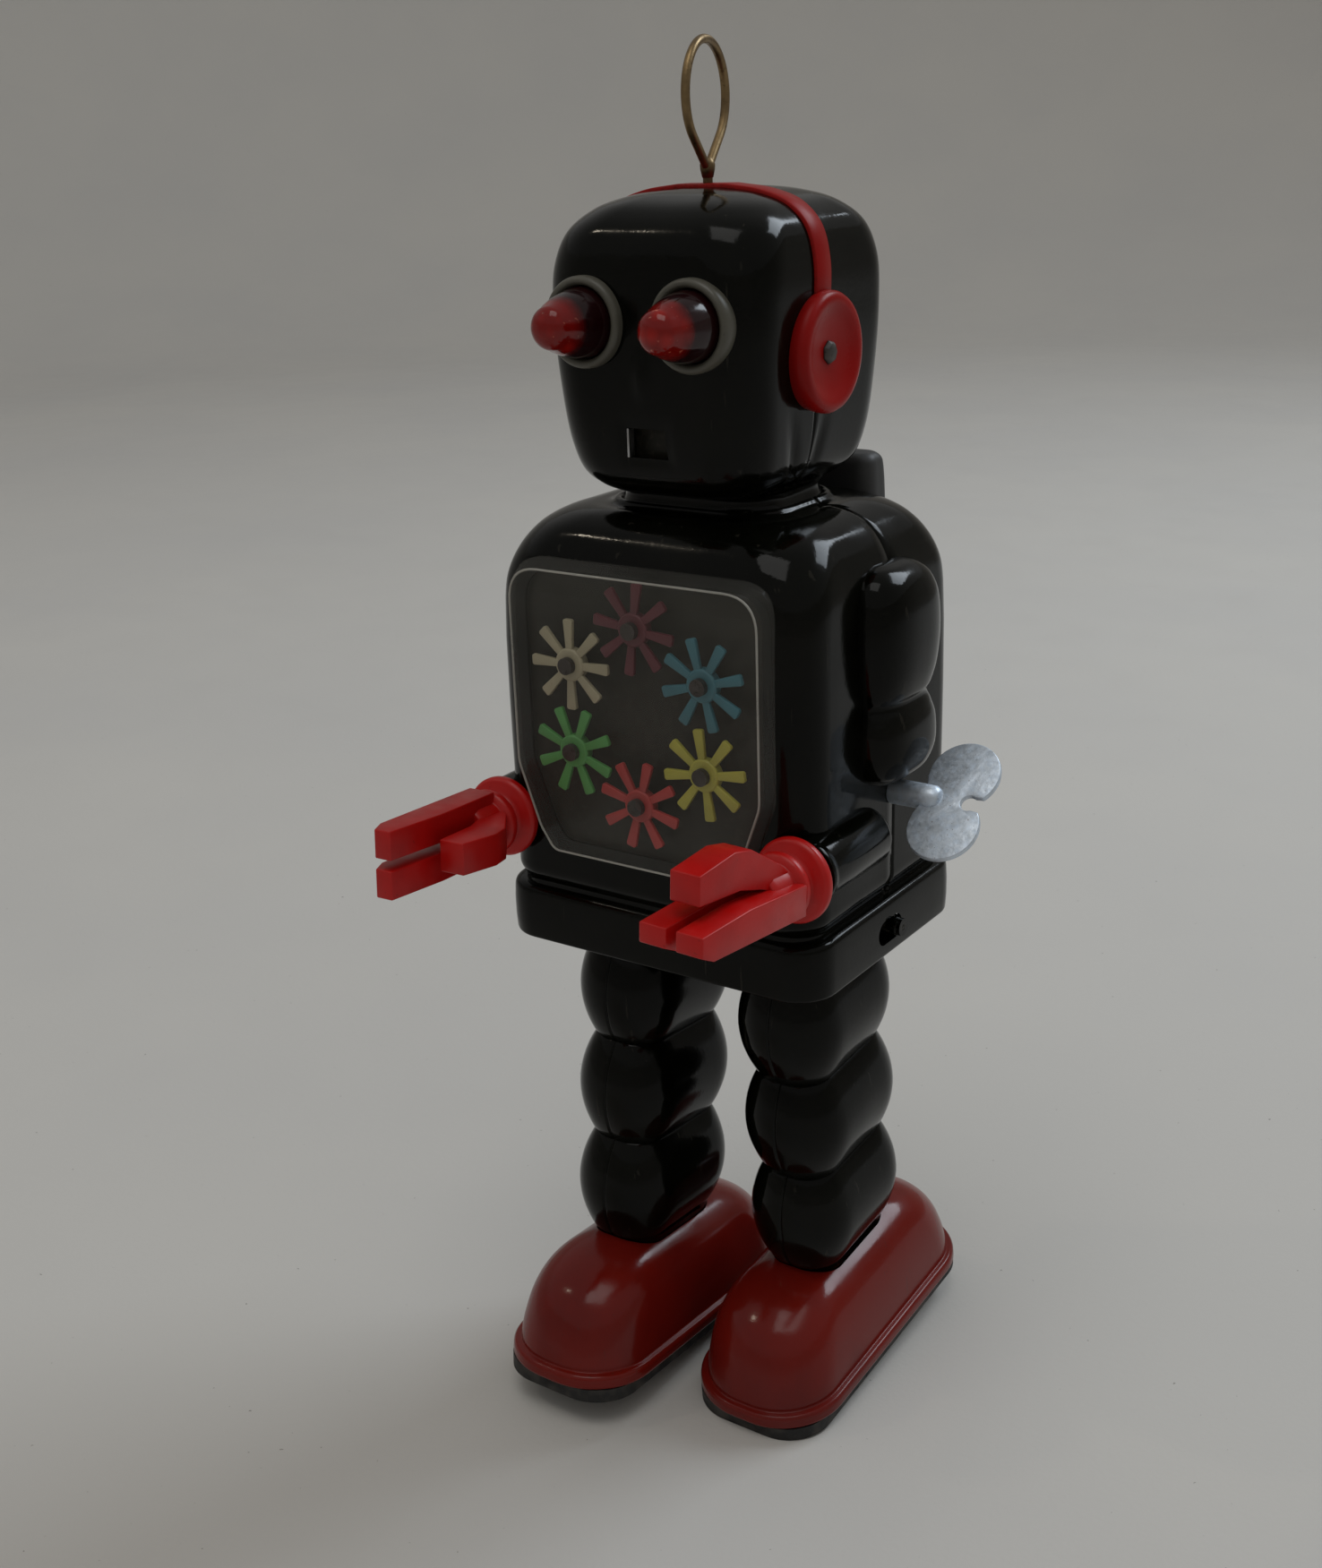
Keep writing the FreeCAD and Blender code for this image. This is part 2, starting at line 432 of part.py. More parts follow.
# ---------------------------------------------------------------- arms
def arm_pieces():
    torso, _ = torso_forms()
    pieces = {}
    for side in SIDES:
        outer = upper_arm_form(0)
        shell = outer.cut([upper_arm_form(ARM_WALL), torso])
        tube = rod_y(FOREARM_RADIUS, FOREARM_Y, (FOREARM_X, FOREARM_Z))
        tube = tube.makeFillet(1.2, [e for e in tube.Edges if e.BoundBox.YMin > FOREARM_Y[1] - 0.1])
        hollow = rod_y(FOREARM_RADIUS - ARM_WALL, (FOREARM_Y[0] + ARM_WALL, FOREARM_Y[1] - ARM_WALL),
                       (FOREARM_X, FOREARM_Z))
        wrist_hole = rod_y(WRIST_HOLE, (-40, -20), (WRIST_X, WRIST_Z))
        pieces["upper_arm_" + side] = on_side(shell, side)
        pieces["forearm_" + side] = on_side(tube.cut([hollow, wrist_hole, torso]), side)
        pieces["hand_" + side] = on_side(hand(HAND_ROLL[side]), side)
    return pieces


def upper_arm_form(inset):
    wires = []
    for z, reach, half_depth in UPPER_ARM:
        z += inset if z == UPPER_ARM[-1][0] else (-inset if z == UPPER_ARM[0][0] else 0)
        major, minor = half_depth - inset, reach - inset
        centre = Vector(UPPER_ARM_X, UPPER_ARM_Y, z)
        ellipse = Part.Ellipse(centre + Y * major, centre + X * minor, centre)
        wires.append(Part.Wire(ellipse.toShape()))
    return Part.makeLoft(wires[::-1], True, True)


def hand(roll):
    """Two flanges, a hub, two fingers side by side and a thumb over them; it plugs in the cuff."""
    def tapered(width, height, length, start):
        """A finger along -Y with a blunt, slanted tip, standing on z = 0."""
        outline = [(start, 0), (start, height), (start - length * 0.55, height * 1.05),
                   (start - length, height * 0.86), (start - length, height * 0.25),
                   (start - length + 3.2, 0)]
        return prism_x(outline, (-width / 2, width / 2))
    body = joined(rod_y(HAND_FLANGE, (-1.9, 0), (0, 0)), rod_y(4.4, (-4.6, -1), (0, 0)),
                  rod_y(HAND_COLLAR, (-6.2, -4.2), (0, 0)), rod_y(HAND_HUB, (-12.0, -5), (0, 0)),
                  rod_y(HAND_PEG_RADIUS, (-1, HAND_PEG), (0, 0)))
    fingers = []
    for sign in (1, -1):
        finger = tapered(FINGER_WIDTH, FINGER_HEIGHT, FINGER_LENGTH - 6, -6)
        finger.translate(Vector(sign * FINGER_OFFSET, 0, -FINGER_HEIGHT / 2 - 0.8))
        fingers.append(finger)
    thumb_points = [(-5, 2.0), (-10, 5.6), (-19, 10.2), (-24, 11.0), (-THUMB_LENGTH, 9.4),
                    (-THUMB_LENGTH, 4.2), (-22, 4.0), (-15, 2.4), (-11, 1.0)]
    thumb = prism_x(thumb_points, (-THUMB_WIDTH / 2, THUMB_WIDTH / 2))
    whole = joined(body, *fingers, thumb)
    whole.rotate(ORIGIN, Y, roll)
    whole.rotate(ORIGIN, X, -HAND_UP)
    whole.rotate(ORIGIN, Z, -HAND_IN)
    whole.translate(Vector(WRIST_X, WRIST_Y, WRIST_Z))
    return whole


# ---------------------------------------------------------------- clockwork
def clockwork_pieces():
    pieces = {}
    arbors = {KEY_ARBOR: KEY_SHAFT_RADIUS, CRANK_ARBOR: ARBOR_RADIUS, SECOND_ARBOR: PIVOT_RADIUS,
              ESCAPE_ARBOR: PIVOT_RADIUS, VERGE_ARBOR: PIVOT_RADIUS}
    plate = block((PLATE_X, PLATE_X + PLATE_THICKNESS), PLATE_Y, PLATE_Z)
    plate = plate.cut([*(rod_x(r + FIT, (5, 20), c) for c, r in arbors.items()),
                       *(rod_x(0.8, (5, 20), c) for c in PILLARS)])
    for side in SIDES:
        pieces["motor_plate_" + side] = on_side(plate, side)
    ends = PLATE_X + PLATE_THICKNESS + 0.6
    pieces["motor_plate_left"] = pieces["motor_plate_left"].cut(
        rod_x(ARBOR_RADIUS + FIT, (5, 20), STOP_PIVOT))
    pieces["motor_pillars"] = Part.Compound(
        [joined(rod_x(PILLAR_RADIUS, (-PLATE_X, PLATE_X), c), rod_x(0.8, (-ends, ends), c))
         for c in PILLARS])

    pieces["mainspring"] = mainspring()
    pieces["winding_arbor"] = joined(
        rod_x(KEY_ARBOR_RADIUS, (-10.4, RATCHET_X[1] + 0.6), KEY_ARBOR),
        rod_x(KEY_SHAFT_RADIUS, (-ends, KEY_PLATE_X[0]), KEY_ARBOR))
    pieces["ratchet_wheel"] = saw_wheel(RATCHET_TEETH, RATCHET_RADIUS, 1.0, RATCHET_X, KEY_ARBOR,
                                        0, KEY_ARBOR_RADIUS)
    pieces["winding_key"] = winding_key()

    to_crank, to_second = (angle_to(KEY_ARBOR, c) for c in (CRANK_ARBOR, SECOND_ARBOR))
    click_pivot = polar(KEY_ARBOR, 9.0, 60)
    click_tip = polar(KEY_ARBOR, RATCHET_RADIUS + 0.75, 97)
    rivet = rod_x(0.7, (GREAT_X[0], RATCHET_X[1] + 0.3), click_pivot)
    great = toothed_wheel(GREAT_TEETH, GREAT_MODULE, GREAT_X, KEY_ARBOR, to_crank,
                          KEY_ARBOR_RADIUS + FIT)
    pieces["great_wheel"] = great.cut(rivet)
    pieces["click"] = joined(bar_x(click_pivot, click_tip, 0.6, RATCHET_X), rivet)
    to_crank_step = (angle_to(KEY_ARBOR, SECOND_ARBOR) - to_crank) * GREAT_TEETH / 360
    second_start = 180 + to_second + (0.5 - to_crank_step % 1) * -360 / LEAVES

    crank = joined(rod_x(ARBOR_RADIUS, (-CRANK_DISC_X[1], CRANK_DISC_X[1]), CRANK_ARBOR),
                   toothed_wheel(LEAVES, GREAT_MODULE, (GREAT_X[0] - 0.4, GREAT_X[1] + 0.4),
                                 CRANK_ARBOR, 180 + to_crank + 180 / LEAVES))
    lift = math.degrees(math.acos((LEVER_TOP - 4.7 - HIP_Z) * math.sin(math.radians(SWING))
                                  / CRANK_THROW))
    for side in SIDES:
        pin_at = polar(CRANK_ARBOR, CRANK_THROW, 180 - lift if side == "left" else -lift)
        disc = joined(rod_x(CRANK_DISC, CRANK_DISC_X, CRANK_ARBOR),
                      rod_x(CRANK_PIN, (CRANK_DISC_X[1] - 0.5, LEVER_X[0] - GAP), pin_at))
        crank = joined(crank, on_side(disc, side))
    pieces["crank_shaft"] = crank

    second = joined(rod_x(PIVOT_RADIUS, (-ends, ends), SECOND_ARBOR),
                    rod_x(ARBOR_RADIUS, (1.5, PLATE_X - 0.3), SECOND_ARBOR),
                    toothed_wheel(LEAVES, GREAT_MODULE, (GREAT_X[0] - 0.4, GREAT_X[1] + 0.4),
                                  SECOND_ARBOR, second_start),
                    toothed_wheel(SECOND_TEETH, SECOND_MODULE, SECOND_X, SECOND_ARBOR, 90))
    crown = [rod_x(CROWN_RADIUS + 0.7, CROWN_X, SECOND_ARBOR)]
    for i in range(CROWN_TEETH):
        tooth = block(CROWN_TOOTH_X, (CROWN_RADIUS - 0.7, CROWN_RADIUS + 0.7), (-0.33, 0.33))
        tooth.rotate(ORIGIN, X, 180 + i * 360 / CROWN_TEETH)
        tooth.translate(Vector(0, *SECOND_ARBOR))
        crown.append(tooth)
    pieces["second_wheel"] = joined(second, *crown)

    pieces["escape_wheel"] = joined(
        rod_x(PIVOT_RADIUS, (-ends, ends), ESCAPE_ARBOR),
        rod_x(ARBOR_RADIUS, (3.6, PLATE_X - 0.3), ESCAPE_ARBOR),
        toothed_wheel(LEAVES, SECOND_MODULE, (SECOND_X[0] - 0.4, SECOND_X[1] + 0.4), ESCAPE_ARBOR,
                      -90 + 180 / LEAVES),
        saw_wheel(ESCAPE_TEETH, ESCAPE_RADIUS, 1.6, ESCAPE_X, ESCAPE_ARBOR, 90))
    pallets = [polar(ESCAPE_ARBOR, ESCAPE_RADIUS + 0.75, 90 + s * VERGE_SPAN) for s in (1, -1)]
    pieces["verge"] = joined(rod_x(PIVOT_RADIUS, (-ends, ends), VERGE_ARBOR),
                             rod_x(ARBOR_RADIUS, (8.6, PLATE_X - 0.3), VERGE_ARBOR),
                             *(bar_x(VERGE_ARBOR, p, 0.45, ESCAPE_X) for p in pallets))
    pieces["stop_lever"] = stop_lever()
    return pieces


def mainspring():
    """A flat strip wound round the winding arbor, as half circles that grow step by step."""
    def half_turns(start):
        edges, radius, shift, sign = [], start, 0.0, 1
        for _ in range(2 * SPRING_TURNS):
            y = KEY_Y + shift
            edges.append(Part.Arc(Vector(0, y + sign * radius, KEY_Z), Vector(0, y, KEY_Z + sign * radius),
                                  Vector(0, y - sign * radius, KEY_Z)).toShape())
            radius += SPRING_PITCH / 2
            shift = SPRING_PITCH / 2 if sign > 0 else 0.0
            sign = -sign
        return edges
    inner, outer = half_turns(KEY_ARBOR_RADIUS), half_turns(KEY_ARBOR_RADIUS + SPRING_STRIP)
    ends = [Part.makeLine(inner[i].Vertexes[j].Point, outer[i].Vertexes[j].Point)
            for i, j in ((0, 0), (-1, 1))]
    strip = Part.Face(Part.Wire(Part.__sortEdges__([*inner, *outer, *ends])))
    spring = strip.extrude(X * (SPRING_X[1] - SPRING_X[0]))
    spring.translate(X * SPRING_X[0])
    return spring.cut(rod_x(KEY_ARBOR_RADIUS + SPRING_GAP, (-20, 20), KEY_ARBOR))


def winding_key():
    """A tube with a flat plate of two round lobes and a notch between them."""
    middle = (KEY_PLATE_X[0] + KEY_PLATE_X[1]) / 2
    half = KEY_PLATE / 2
    discs = [Part.makeCylinder(KEY_LOBE, KEY_PLATE, Vector(middle, s * KEY_LOBE_OFFSET, -half), Z)
             for s in (1, -1)]
    web = block((KEY_PLATE_X[0], middle + 1.5), (-KEY_LOBE_OFFSET, KEY_LOBE_OFFSET), (-half, half))
    plate = joined(*discs, web)
    plate = plate.cut(Part.makeCylinder(1.7, 4, Vector(middle + 2.2, 0, -2), Z))
    tube = rod_x(KEY_TUBE, KEY_TUBE_X, (0, 0))
    key = joined(plate, tube).cut(rod_x(KEY_SHAFT_RADIUS, (0, KEY_PLATE_X[0]), (0, 0)))
    key.rotate(ORIGIN, X, KEY_TILT)
    key.translate(Vector(0, *KEY_ARBOR))
    return key


def stop_lever():
    """A rocking shaft with an outer arm that carries the knob and an inner arm that is the brake."""
    knob_at = (STOP_PIVOT[0], STOP_KNOB_Z)
    brake_at = polar(ESCAPE_ARBOR, ESCAPE_RADIUS + 1.1, angle_to(ESCAPE_ARBOR, STOP_PIVOT) + 8)
    return joined(rod_x(ARBOR_RADIUS, (STOP_INNER_X[0], STOP_ARM_X[1]), STOP_PIVOT),
                  bar_x(STOP_PIVOT, knob_at, 1.4, STOP_ARM_X),
                  rod_x(STOP_KNOB_RADIUS, (STOP_ARM_X[0], STOP_KNOB_X), knob_at),
                  bar_x(STOP_PIVOT, brake_at, 0.7, STOP_INNER_X),
                  rod_x(0.7, (ESCAPE_X[0], STOP_INNER_X[1]), brake_at))


# ---------------------------------------------------------------- legs
def hip_pieces():
    x, y = (-HIP_PLATE_X, HIP_PLATE_X), (-HIP_PLATE_Y, HIP_PLATE_Y)
    slot_x = (LEVER_X[0] - 0.8, LEVER_X[1] + 0.8)
    slots = [on_side(block(slot_x, (-6.5, 6.5), (100, 110)), side) for side in SIDES]
    disc_slot = block((CRANK_DISC_X[0] - GAP, slot_x[0] + 0.1), (-4.5, 4.5), (100, 110))
    slots += [on_side(disc_slot, side) for side in SIDES]
    ears = [block((e - HIP_EAR / 2, e + HIP_EAR / 2), (-4, 4), (HIP_Z - 3, HIP_PLATE_Z[1]))
            for e in (-HIP_PLATE_X + HIP_EAR / 2, 0, HIP_PLATE_X - HIP_EAR / 2)]
    strap = block((-HIP_STRAP, HIP_STRAP), (-26, 26), HIP_PLATE_Z).common(torso_forms()[1])
    bracket = joined(block(x, y, HIP_PLATE_Z), strap, *ears).cut(
        [*slots, rod_x(HIP_RADIUS, (-40, 40), (0, HIP_Z))])
    axle = rod_x(HIP_RADIUS, (-HIP_PLATE_X, HIP_PLATE_X), (0, HIP_Z))
    return {"hip_bracket": bracket, "hip_axle": axle}


def leg_outlines():
    """Outlines of the leg: an ankle, three bulges between narrow valleys, and a plain top."""
    outlines = list(LEG_FOOT)
    for bulge in range(LEG_BULGES):
        for share in (0.0, 0.08, 0.25, 0.5, 0.75, 0.92):
            grow = LEG_BULGE * math.sin(math.pi * share) ** 0.7 if share else 0.0
            outlines.append((LEG_VALLEY_Z + (bulge + share) * LEG_PITCH, LEG_HALF_WIDTH + grow,
                             LEG_HALF_DEPTH + grow, LEG_CORNER + grow))
    top = LEG_VALLEY_Z + LEG_BULGES * LEG_PITCH
    return outlines + [(top, LEG_HALF_WIDTH, LEG_HALF_DEPTH, LEG_CORNER)] + LEG_TOP


def leg_pieces():
    outlines = leg_outlines()
    outer, hollow = lofted(outlines), lofted(shrunk(outlines, WALL))
    hip = (0, HIP_Z)
    lever_slot = block((-1.6, 0.2), (-LEVER_HALF_WIDTH - 0.1, LEVER_HALF_WIDTH + 0.1), (HIP_Z + 1, 110))
    shell = outer.cut([hollow, rod_x(HIP_TUBE, (-20, 20), hip), lever_slot])
    pieces = {"leg_inner_shell": shell.common(block((-20, 0), (-30, 30), (0, 120))),
              "leg_outer_shell": shell.common(block((0, 20), (-30, 30), (0, 120)))}

    lever_x = (LEVER_X[0] - LEG_X, LEVER_X[1] - LEG_X)
    slot_z = (CRANK_ARBOR[1] - 2.6, CRANK_ARBOR[1] + 2.6)
    lever = block(lever_x, (-LEVER_HALF_WIDTH, LEVER_HALF_WIDTH), (HIP_Z, LEVER_TOP))
    lever = lever.cut(block((-5, 5), (-CRANK_PIN - 0.1, CRANK_PIN + 0.1), slot_z))
    tube = rod_x(HIP_TUBE, (-7.6, 7.6), hip)
    pieces["leg_lever"] = joined(lever, tube).cut(rod_x(HIP_RADIUS + FIT, (-20, 20), hip))

    dome = lofted(FOOT)
    flange = lofted([FOOT_FLANGE, (FOOT_FLANGE[0] + FLANGE_THICKNESS, *FOOT_FLANGE[1:])])
    inside = [(z - (WALL if z > 12 else 0), w - WALL, d - WALL, r - WALL) for z, w, d, r in FOOT]
    inside = [(SOLE_TOP - 1, *inside[0][1:]), *inside[1:]]
    pieces["foot_upper"] = joined(dome, flange).cut([lofted(inside), outer])

    roller_at = (ROLLER_Y, SOLE_BOTTOM - ROLLER_DROP + ROLLER_RADIUS)
    sole = lofted([(SOLE_BOTTOM, SOLE_HALF_WIDTH, SOLE_HALF_LENGTH, SOLE_CORNER),
                   (SOLE_TOP, SOLE_HALF_WIDTH, SOLE_HALF_LENGTH, SOLE_CORNER)])
    well = ROLLER_HALF_WIDTH + GAP
    reach = ROLLER_RADIUS + GAP
    ears = [block((x, x + 1.6), (ROLLER_Y - 2, ROLLER_Y + 2), (SOLE_TOP - 0.5, roller_at[1] + 1.8))
            for x in (well, -well - 1.6)]
    pieces["foot_sole"] = joined(sole, *ears).cut(
        [block((-well, well), (ROLLER_Y - reach, ROLLER_Y + reach), (0, 20)),
         rod_x(ROLLER_AXLE + FIT, (-well - 2, well + 2), roller_at)])
    pieces["foot_roller"] = joined(
        rod_x(ROLLER_RADIUS, (-ROLLER_HALF_WIDTH, ROLLER_HALF_WIDTH), roller_at),
        rod_x(ROLLER_AXLE, (-well - 1.6, well + 1.6), roller_at))

    posed = {}
    for name, piece in pieces.items():
        for side, sign in SIDES.items():
            leg = piece.copy()
            leg.translate(X * LEG_X)
            leg = on_side(leg, side)
            leg.rotate(Vector(0, 0, HIP_Z), X, sign * SWING)
            posed[f"{name}_{side}"] = leg
    return posed


# ---------------------------------------------------------------- whole robot
def robot():
    """Every piece by name, and the step that puts the origin under the middle."""
    pieces = {}
    for group in (head_pieces, torso_pieces, chest_pieces, arm_pieces, clockwork_pieces,
                  hip_pieces, leg_pieces):
        pieces.update(group())
    box = Part.Compound(list(pieces.values())).optimalBoundingBox(False, False)
    return pieces, Vector(-(box.XMin + box.XMax) / 2, -(box.YMin + box.YMax) / 2, 0)


def main():
    os.makedirs("parts", exist_ok=True)
    pieces, step = robot()
    for name, piece in pieces.items():
        piece.translate(step)
        piece.exportStep(f"parts/{name}.step")
    print(len(pieces), "pieces; moved by", tuple(round(v, 3) for v in step))


if __name__ == "__main__":
    main()
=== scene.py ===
import json
import math

import bmesh
import bpy
from mathutils import Matrix, Vector


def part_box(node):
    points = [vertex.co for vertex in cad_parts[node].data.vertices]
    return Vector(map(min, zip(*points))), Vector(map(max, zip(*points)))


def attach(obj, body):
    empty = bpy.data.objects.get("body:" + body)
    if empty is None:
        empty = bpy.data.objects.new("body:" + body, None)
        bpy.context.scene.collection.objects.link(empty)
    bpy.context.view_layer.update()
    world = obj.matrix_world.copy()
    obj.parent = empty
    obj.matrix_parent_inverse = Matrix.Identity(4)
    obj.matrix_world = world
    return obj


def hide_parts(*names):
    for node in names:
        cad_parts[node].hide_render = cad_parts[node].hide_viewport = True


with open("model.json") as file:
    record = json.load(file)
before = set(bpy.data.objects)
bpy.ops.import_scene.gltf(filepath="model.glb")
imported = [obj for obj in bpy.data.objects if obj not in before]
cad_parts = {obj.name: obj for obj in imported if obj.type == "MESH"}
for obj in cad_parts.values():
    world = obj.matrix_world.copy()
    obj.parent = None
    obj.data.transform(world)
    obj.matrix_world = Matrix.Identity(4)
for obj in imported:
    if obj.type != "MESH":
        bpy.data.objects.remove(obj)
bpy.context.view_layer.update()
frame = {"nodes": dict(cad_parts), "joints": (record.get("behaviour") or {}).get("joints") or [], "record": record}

# A wind-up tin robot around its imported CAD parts.  Shapes are drawn in millimetres about the
# robot's middle plane and hip axle, facing -Y with the floor at z = 0, and BODY places them.
MM = 0.001
SIDES = {"left": 1, "right": -1}
MIRROR = {"left": Matrix.Identity(4), "right": Matrix.Scale(-1, 4, (1, 0, 0))}
JOINTS = {joint["name"]: joint for joint in frame["joints"]}
MOUNTS = {mount["name"]: mount for mount in frame["record"]["mounts"]}

axle_low, axle_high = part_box("hip_axle")
MIDDLE = Vector(((axle_low.x + axle_high.x) / 2, (axle_low.y + axle_high.y) / 2, 0))
HIP_Z = (axle_low.z + axle_high.z) / 2 / MM
BODY = Matrix.Translation(MIDDLE) @ Matrix.Scale(MM, 4)


def span(*nodes):
    """Lowest and highest corner of CAD nodes, in millimetres about the robot's middle."""
    boxes = [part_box(node) for node in nodes]
    low = [min(b[0][i] for b in boxes) for i in range(3)]
    high = [max(b[1][i] for b in boxes) for i in range(3)]
    return (Vector(low) - MIDDLE) / MM, (Vector(high) - MIDDLE) / MM


# ---------------------------------------------------------------- sizes from the frame
TIN = 0.6                                   # thickness of the tin shells
HEAD_LOW, HEAD_HIGH = span("head_front_shell", "head_rear_shell")
TORSO_LOW, TORSO_HIGH = span("torso_front_shell", "torso_rear_shell")
SKIRT_LOW, SKIRT_HIGH = span("skirt")
WINDOW_LOW, WINDOW_HIGH = span("chest_window")
COLLAR_LOW, COLLAR_HIGH = span("neck_collar")
HEAD_SEAM_Y = span("head_front_shell")[1].y
TORSO_SEAM_Y = span("torso_front_shell")[1].y
LEG_X = span("leg_outer_shell_left")[0].x
SOLE_AXIS = Vector(MOUNTS["left_sole"]["axis"])
SWING = math.atan2(SOLE_AXIS.y, -SOLE_AXIS.z)


def leg_place(side):
    """Puts a left leg, drawn straight, on its side and into its stride."""
    hip = Matrix.Translation((0, 0, HIP_Z))
    return BODY @ hip @ Matrix.Rotation(SIDES[side] * SWING, 4, "X") @ hip.inverted() @ MIRROR[side]


def hand_place(side):
    """The left hand's frame: its fingers point along -Y, from the wrist at the origin."""
    joint = JOINTS[side + "_hand_turn"]
    wrist = (Vector(joint["pos_m"]) - MIDDLE) / MM
    wrist.x = abs(wrist.x)
    lean = math.asin(joint["axis"][2])
    inwards = math.atan2(abs(joint["axis"][0]), -joint["axis"][1])
    return (BODY @ MIRROR[side] @ Matrix.Translation(wrist)
            @ Matrix.Rotation(-inwards, 4, "Z") @ Matrix.Rotation(-lean, 4, "X"))


# ---------------------------------------------------------------- mesh tools
def rounded_ring(z, half_width, half_depth, corner, arc_steps=10, flat_steps=10):
    """Points of a rounded rectangle at height z, the same count for every size."""
    corner = min(corner, half_width - 0.01, half_depth - 0.01)
    x, y = half_width - corner, half_depth - corner
    points = []
    for quarter, (cx, cy) in enumerate(((x, y), (-x, y), (-x, -y), (x, -y))):
        for i in range(arc_steps + 1):
            a = math.radians(90 * (quarter + i / arc_steps))
            points.append(Vector((cx + corner * math.cos(a), cy + corner * math.sin(a), z)))
        nx, ny = ((-x, y), (-x, -y), (x, -y), (x, y))[quarter]
        a = math.radians(90 * (quarter + 1))
        start = points[-1]
        end = Vector((nx + corner * math.cos(a), ny + corner * math.sin(a), z))
        points += [start.lerp(end, i / flat_steps) for i in range(1, flat_steps)]
    return points


def smooth_sections(sections, steps):
    """More sections between those given, on a smooth curve through them."""
    def distance(p, q):
        return max(math.dist(p, q), 1e-6) ** 0.5
    result = []
    for i in range(len(sections) - 1):
        p1, p2 = sections[i], sections[i + 1]
        p0 = sections[i - 1] if i else tuple(2 * a - b for a, b in zip(p1, p2))
        last = i + 2 >= len(sections)
        p3 = tuple(2 * b - a for a, b in zip(p1, p2)) if last else sections[i + 2]
        d0, d1, d2 = distance(p0, p1), distance(p1, p2), distance(p2, p3)
        for k in range(steps):
            t = k / steps
            values = []
            for a, b, c, d in zip(p0, p1, p2, p3):
                m1 = ((b - a) / d0 - (c - a) / (d0 + d1)) * d1 + (c - b)
                m2 = ((d - c) / d2 - (d - b) / (d1 + d2)) * d1 + (c - b)
                values.append((2 * t ** 3 - 3 * t ** 2 + 1) * b + (t ** 3 - 2 * t ** 2 + t) * m1
                              + (3 * t ** 2 - 2 * t ** 3) * c + (t ** 3 - t ** 2) * m2)
            result.append(tuple(values))
    return result + [tuple(sections[-1])]


def skin(rings, cap_low=True, cap_high=True):
    """A mesh through closed rings of points."""
    bm = bmesh.new()
    loops = [[bm.verts.new(p) for p in ring] for ring in rings]
    count = len(loops[0])
    for low, high in zip(loops, loops[1:]):
        for i in range(count):
            j = (i + 1) % count
            bm.faces.new((low[i], low[j], high[j], high[i]))
    if cap_low:
        bm.faces.new(loops[0][::-1])
    if cap_high:
        bm.faces.new(loops[-1])
    bmesh.ops.recalc_face_normals(bm, faces=bm.faces)
    return bm


def box_form(sections, steps=1, **caps):
    """A form through rounded rectangles (height, half width, half depth, corner)."""
    if steps > 1:
        sections = smooth_sections(sections, steps)
    return skin([rounded_ring(*s) for s in sections], **caps)


def lathe(profile, axis="Y", segments=64, cap_ends=True):
    """A turned form from (radius, place along the axis) points."""
    rings = []
    for radius, along in profile:
        radius = max(radius, 0.0005)
        ring = []
        for i in range(segments):
            a = 2 * math.pi * i / segments
            u, v = radius * math.cos(a), radius * math.sin(a)
            ring.append(Vector({"X": (along, u, v), "Y": (v, along, u), "Z": (u, v, along)}[axis]))
        rings.append(ring)
    return skin(rings, cap_ends, cap_ends)


def prism(outline, depth, axis="X"):
    """A flat form of that outline, centred on the axis it is extruded along."""
    def at(point, along):
        u, v = point
        return Vector({"X": (along, u, v), "Y": (u, along, v), "Z": (u, v, along)}[axis])
    return skin([[at(p, -depth / 2) for p in outline], [at(p, depth / 2) for p in outline]])


def tube(path, radius, segments=16):
    """A round wire along points."""
    rings, normal = [], None
    for i, point in enumerate(path):
        before, after = path[max(i - 1, 0)], path[min(i + 1, len(path) - 1)]
        along = (after - before).normalized()
        normal = along.orthogonal() if normal is None else normal - along * normal.dot(along)
        normal.normalize()
        across = along.cross(normal)
        rings.append([point + radius * (math.cos(a) * normal + math.sin(a) * across)
                      for a in (2 * math.pi * k / segments for k in range(segments))])
    return skin(rings)


def moved(bm, x=0.0, y=0.0, z=0.0):
    """The mesh, shifted."""
    bmesh.ops.translate(bm, verts=bm.verts, vec=(x, y, z))
    return bm


def merged(*forms):
    """One mesh of several forms."""
    whole = bmesh.new()
    for form in forms:
        part = bpy.data.meshes.new("part")
        form.to_mesh(part)
        form.free()
        whole.from_mesh(part)
        bpy.data.meshes.remove(part)
    return whole


def cut_loops(bm, axis, places):
    """Adds edge loops where planes across the axis cut the mesh."""
    normal = [0, 0, 0]
    normal[axis] = 1
    for place in places:
        point = [0, 0, 0]
        point[axis] = place
        bmesh.ops.bisect_plane(bm, geom=bm.verts[:] + bm.edges[:] + bm.faces[:], dist=1e-5,
                               plane_co=point, plane_no=normal)


def groove(bm, axis, place, width, depth):
    """Presses a narrow groove into the mesh along the plane at that place."""
    cut_loops(bm, axis, [place + width * k for k in (-1, -0.5, 0, 0.5, 1)])
    bm.normal_update()
    for vert in bm.verts:
        offset = abs(vert.co[axis] - place) / width
        if offset < 1:
            vert.co -= vert.normal * depth * (0.5 + 0.5 * math.cos(math.pi * offset))


def half_of(bm, axis, place, keep_above):
    """A copy of the part of the mesh on one side of a plane, open where it was cut."""
    half = bm.copy()
    normal, point = [0, 0, 0], [0, 0, 0]
    normal[axis], point[axis] = 1, place
    bmesh.ops.bisect_plane(half, geom=half.verts[:] + half.edges[:] + half.faces[:], dist=1e-5,
                           plane_co=point, plane_no=normal,
                           clear_inner=keep_above, clear_outer=not keep_above)
    return half


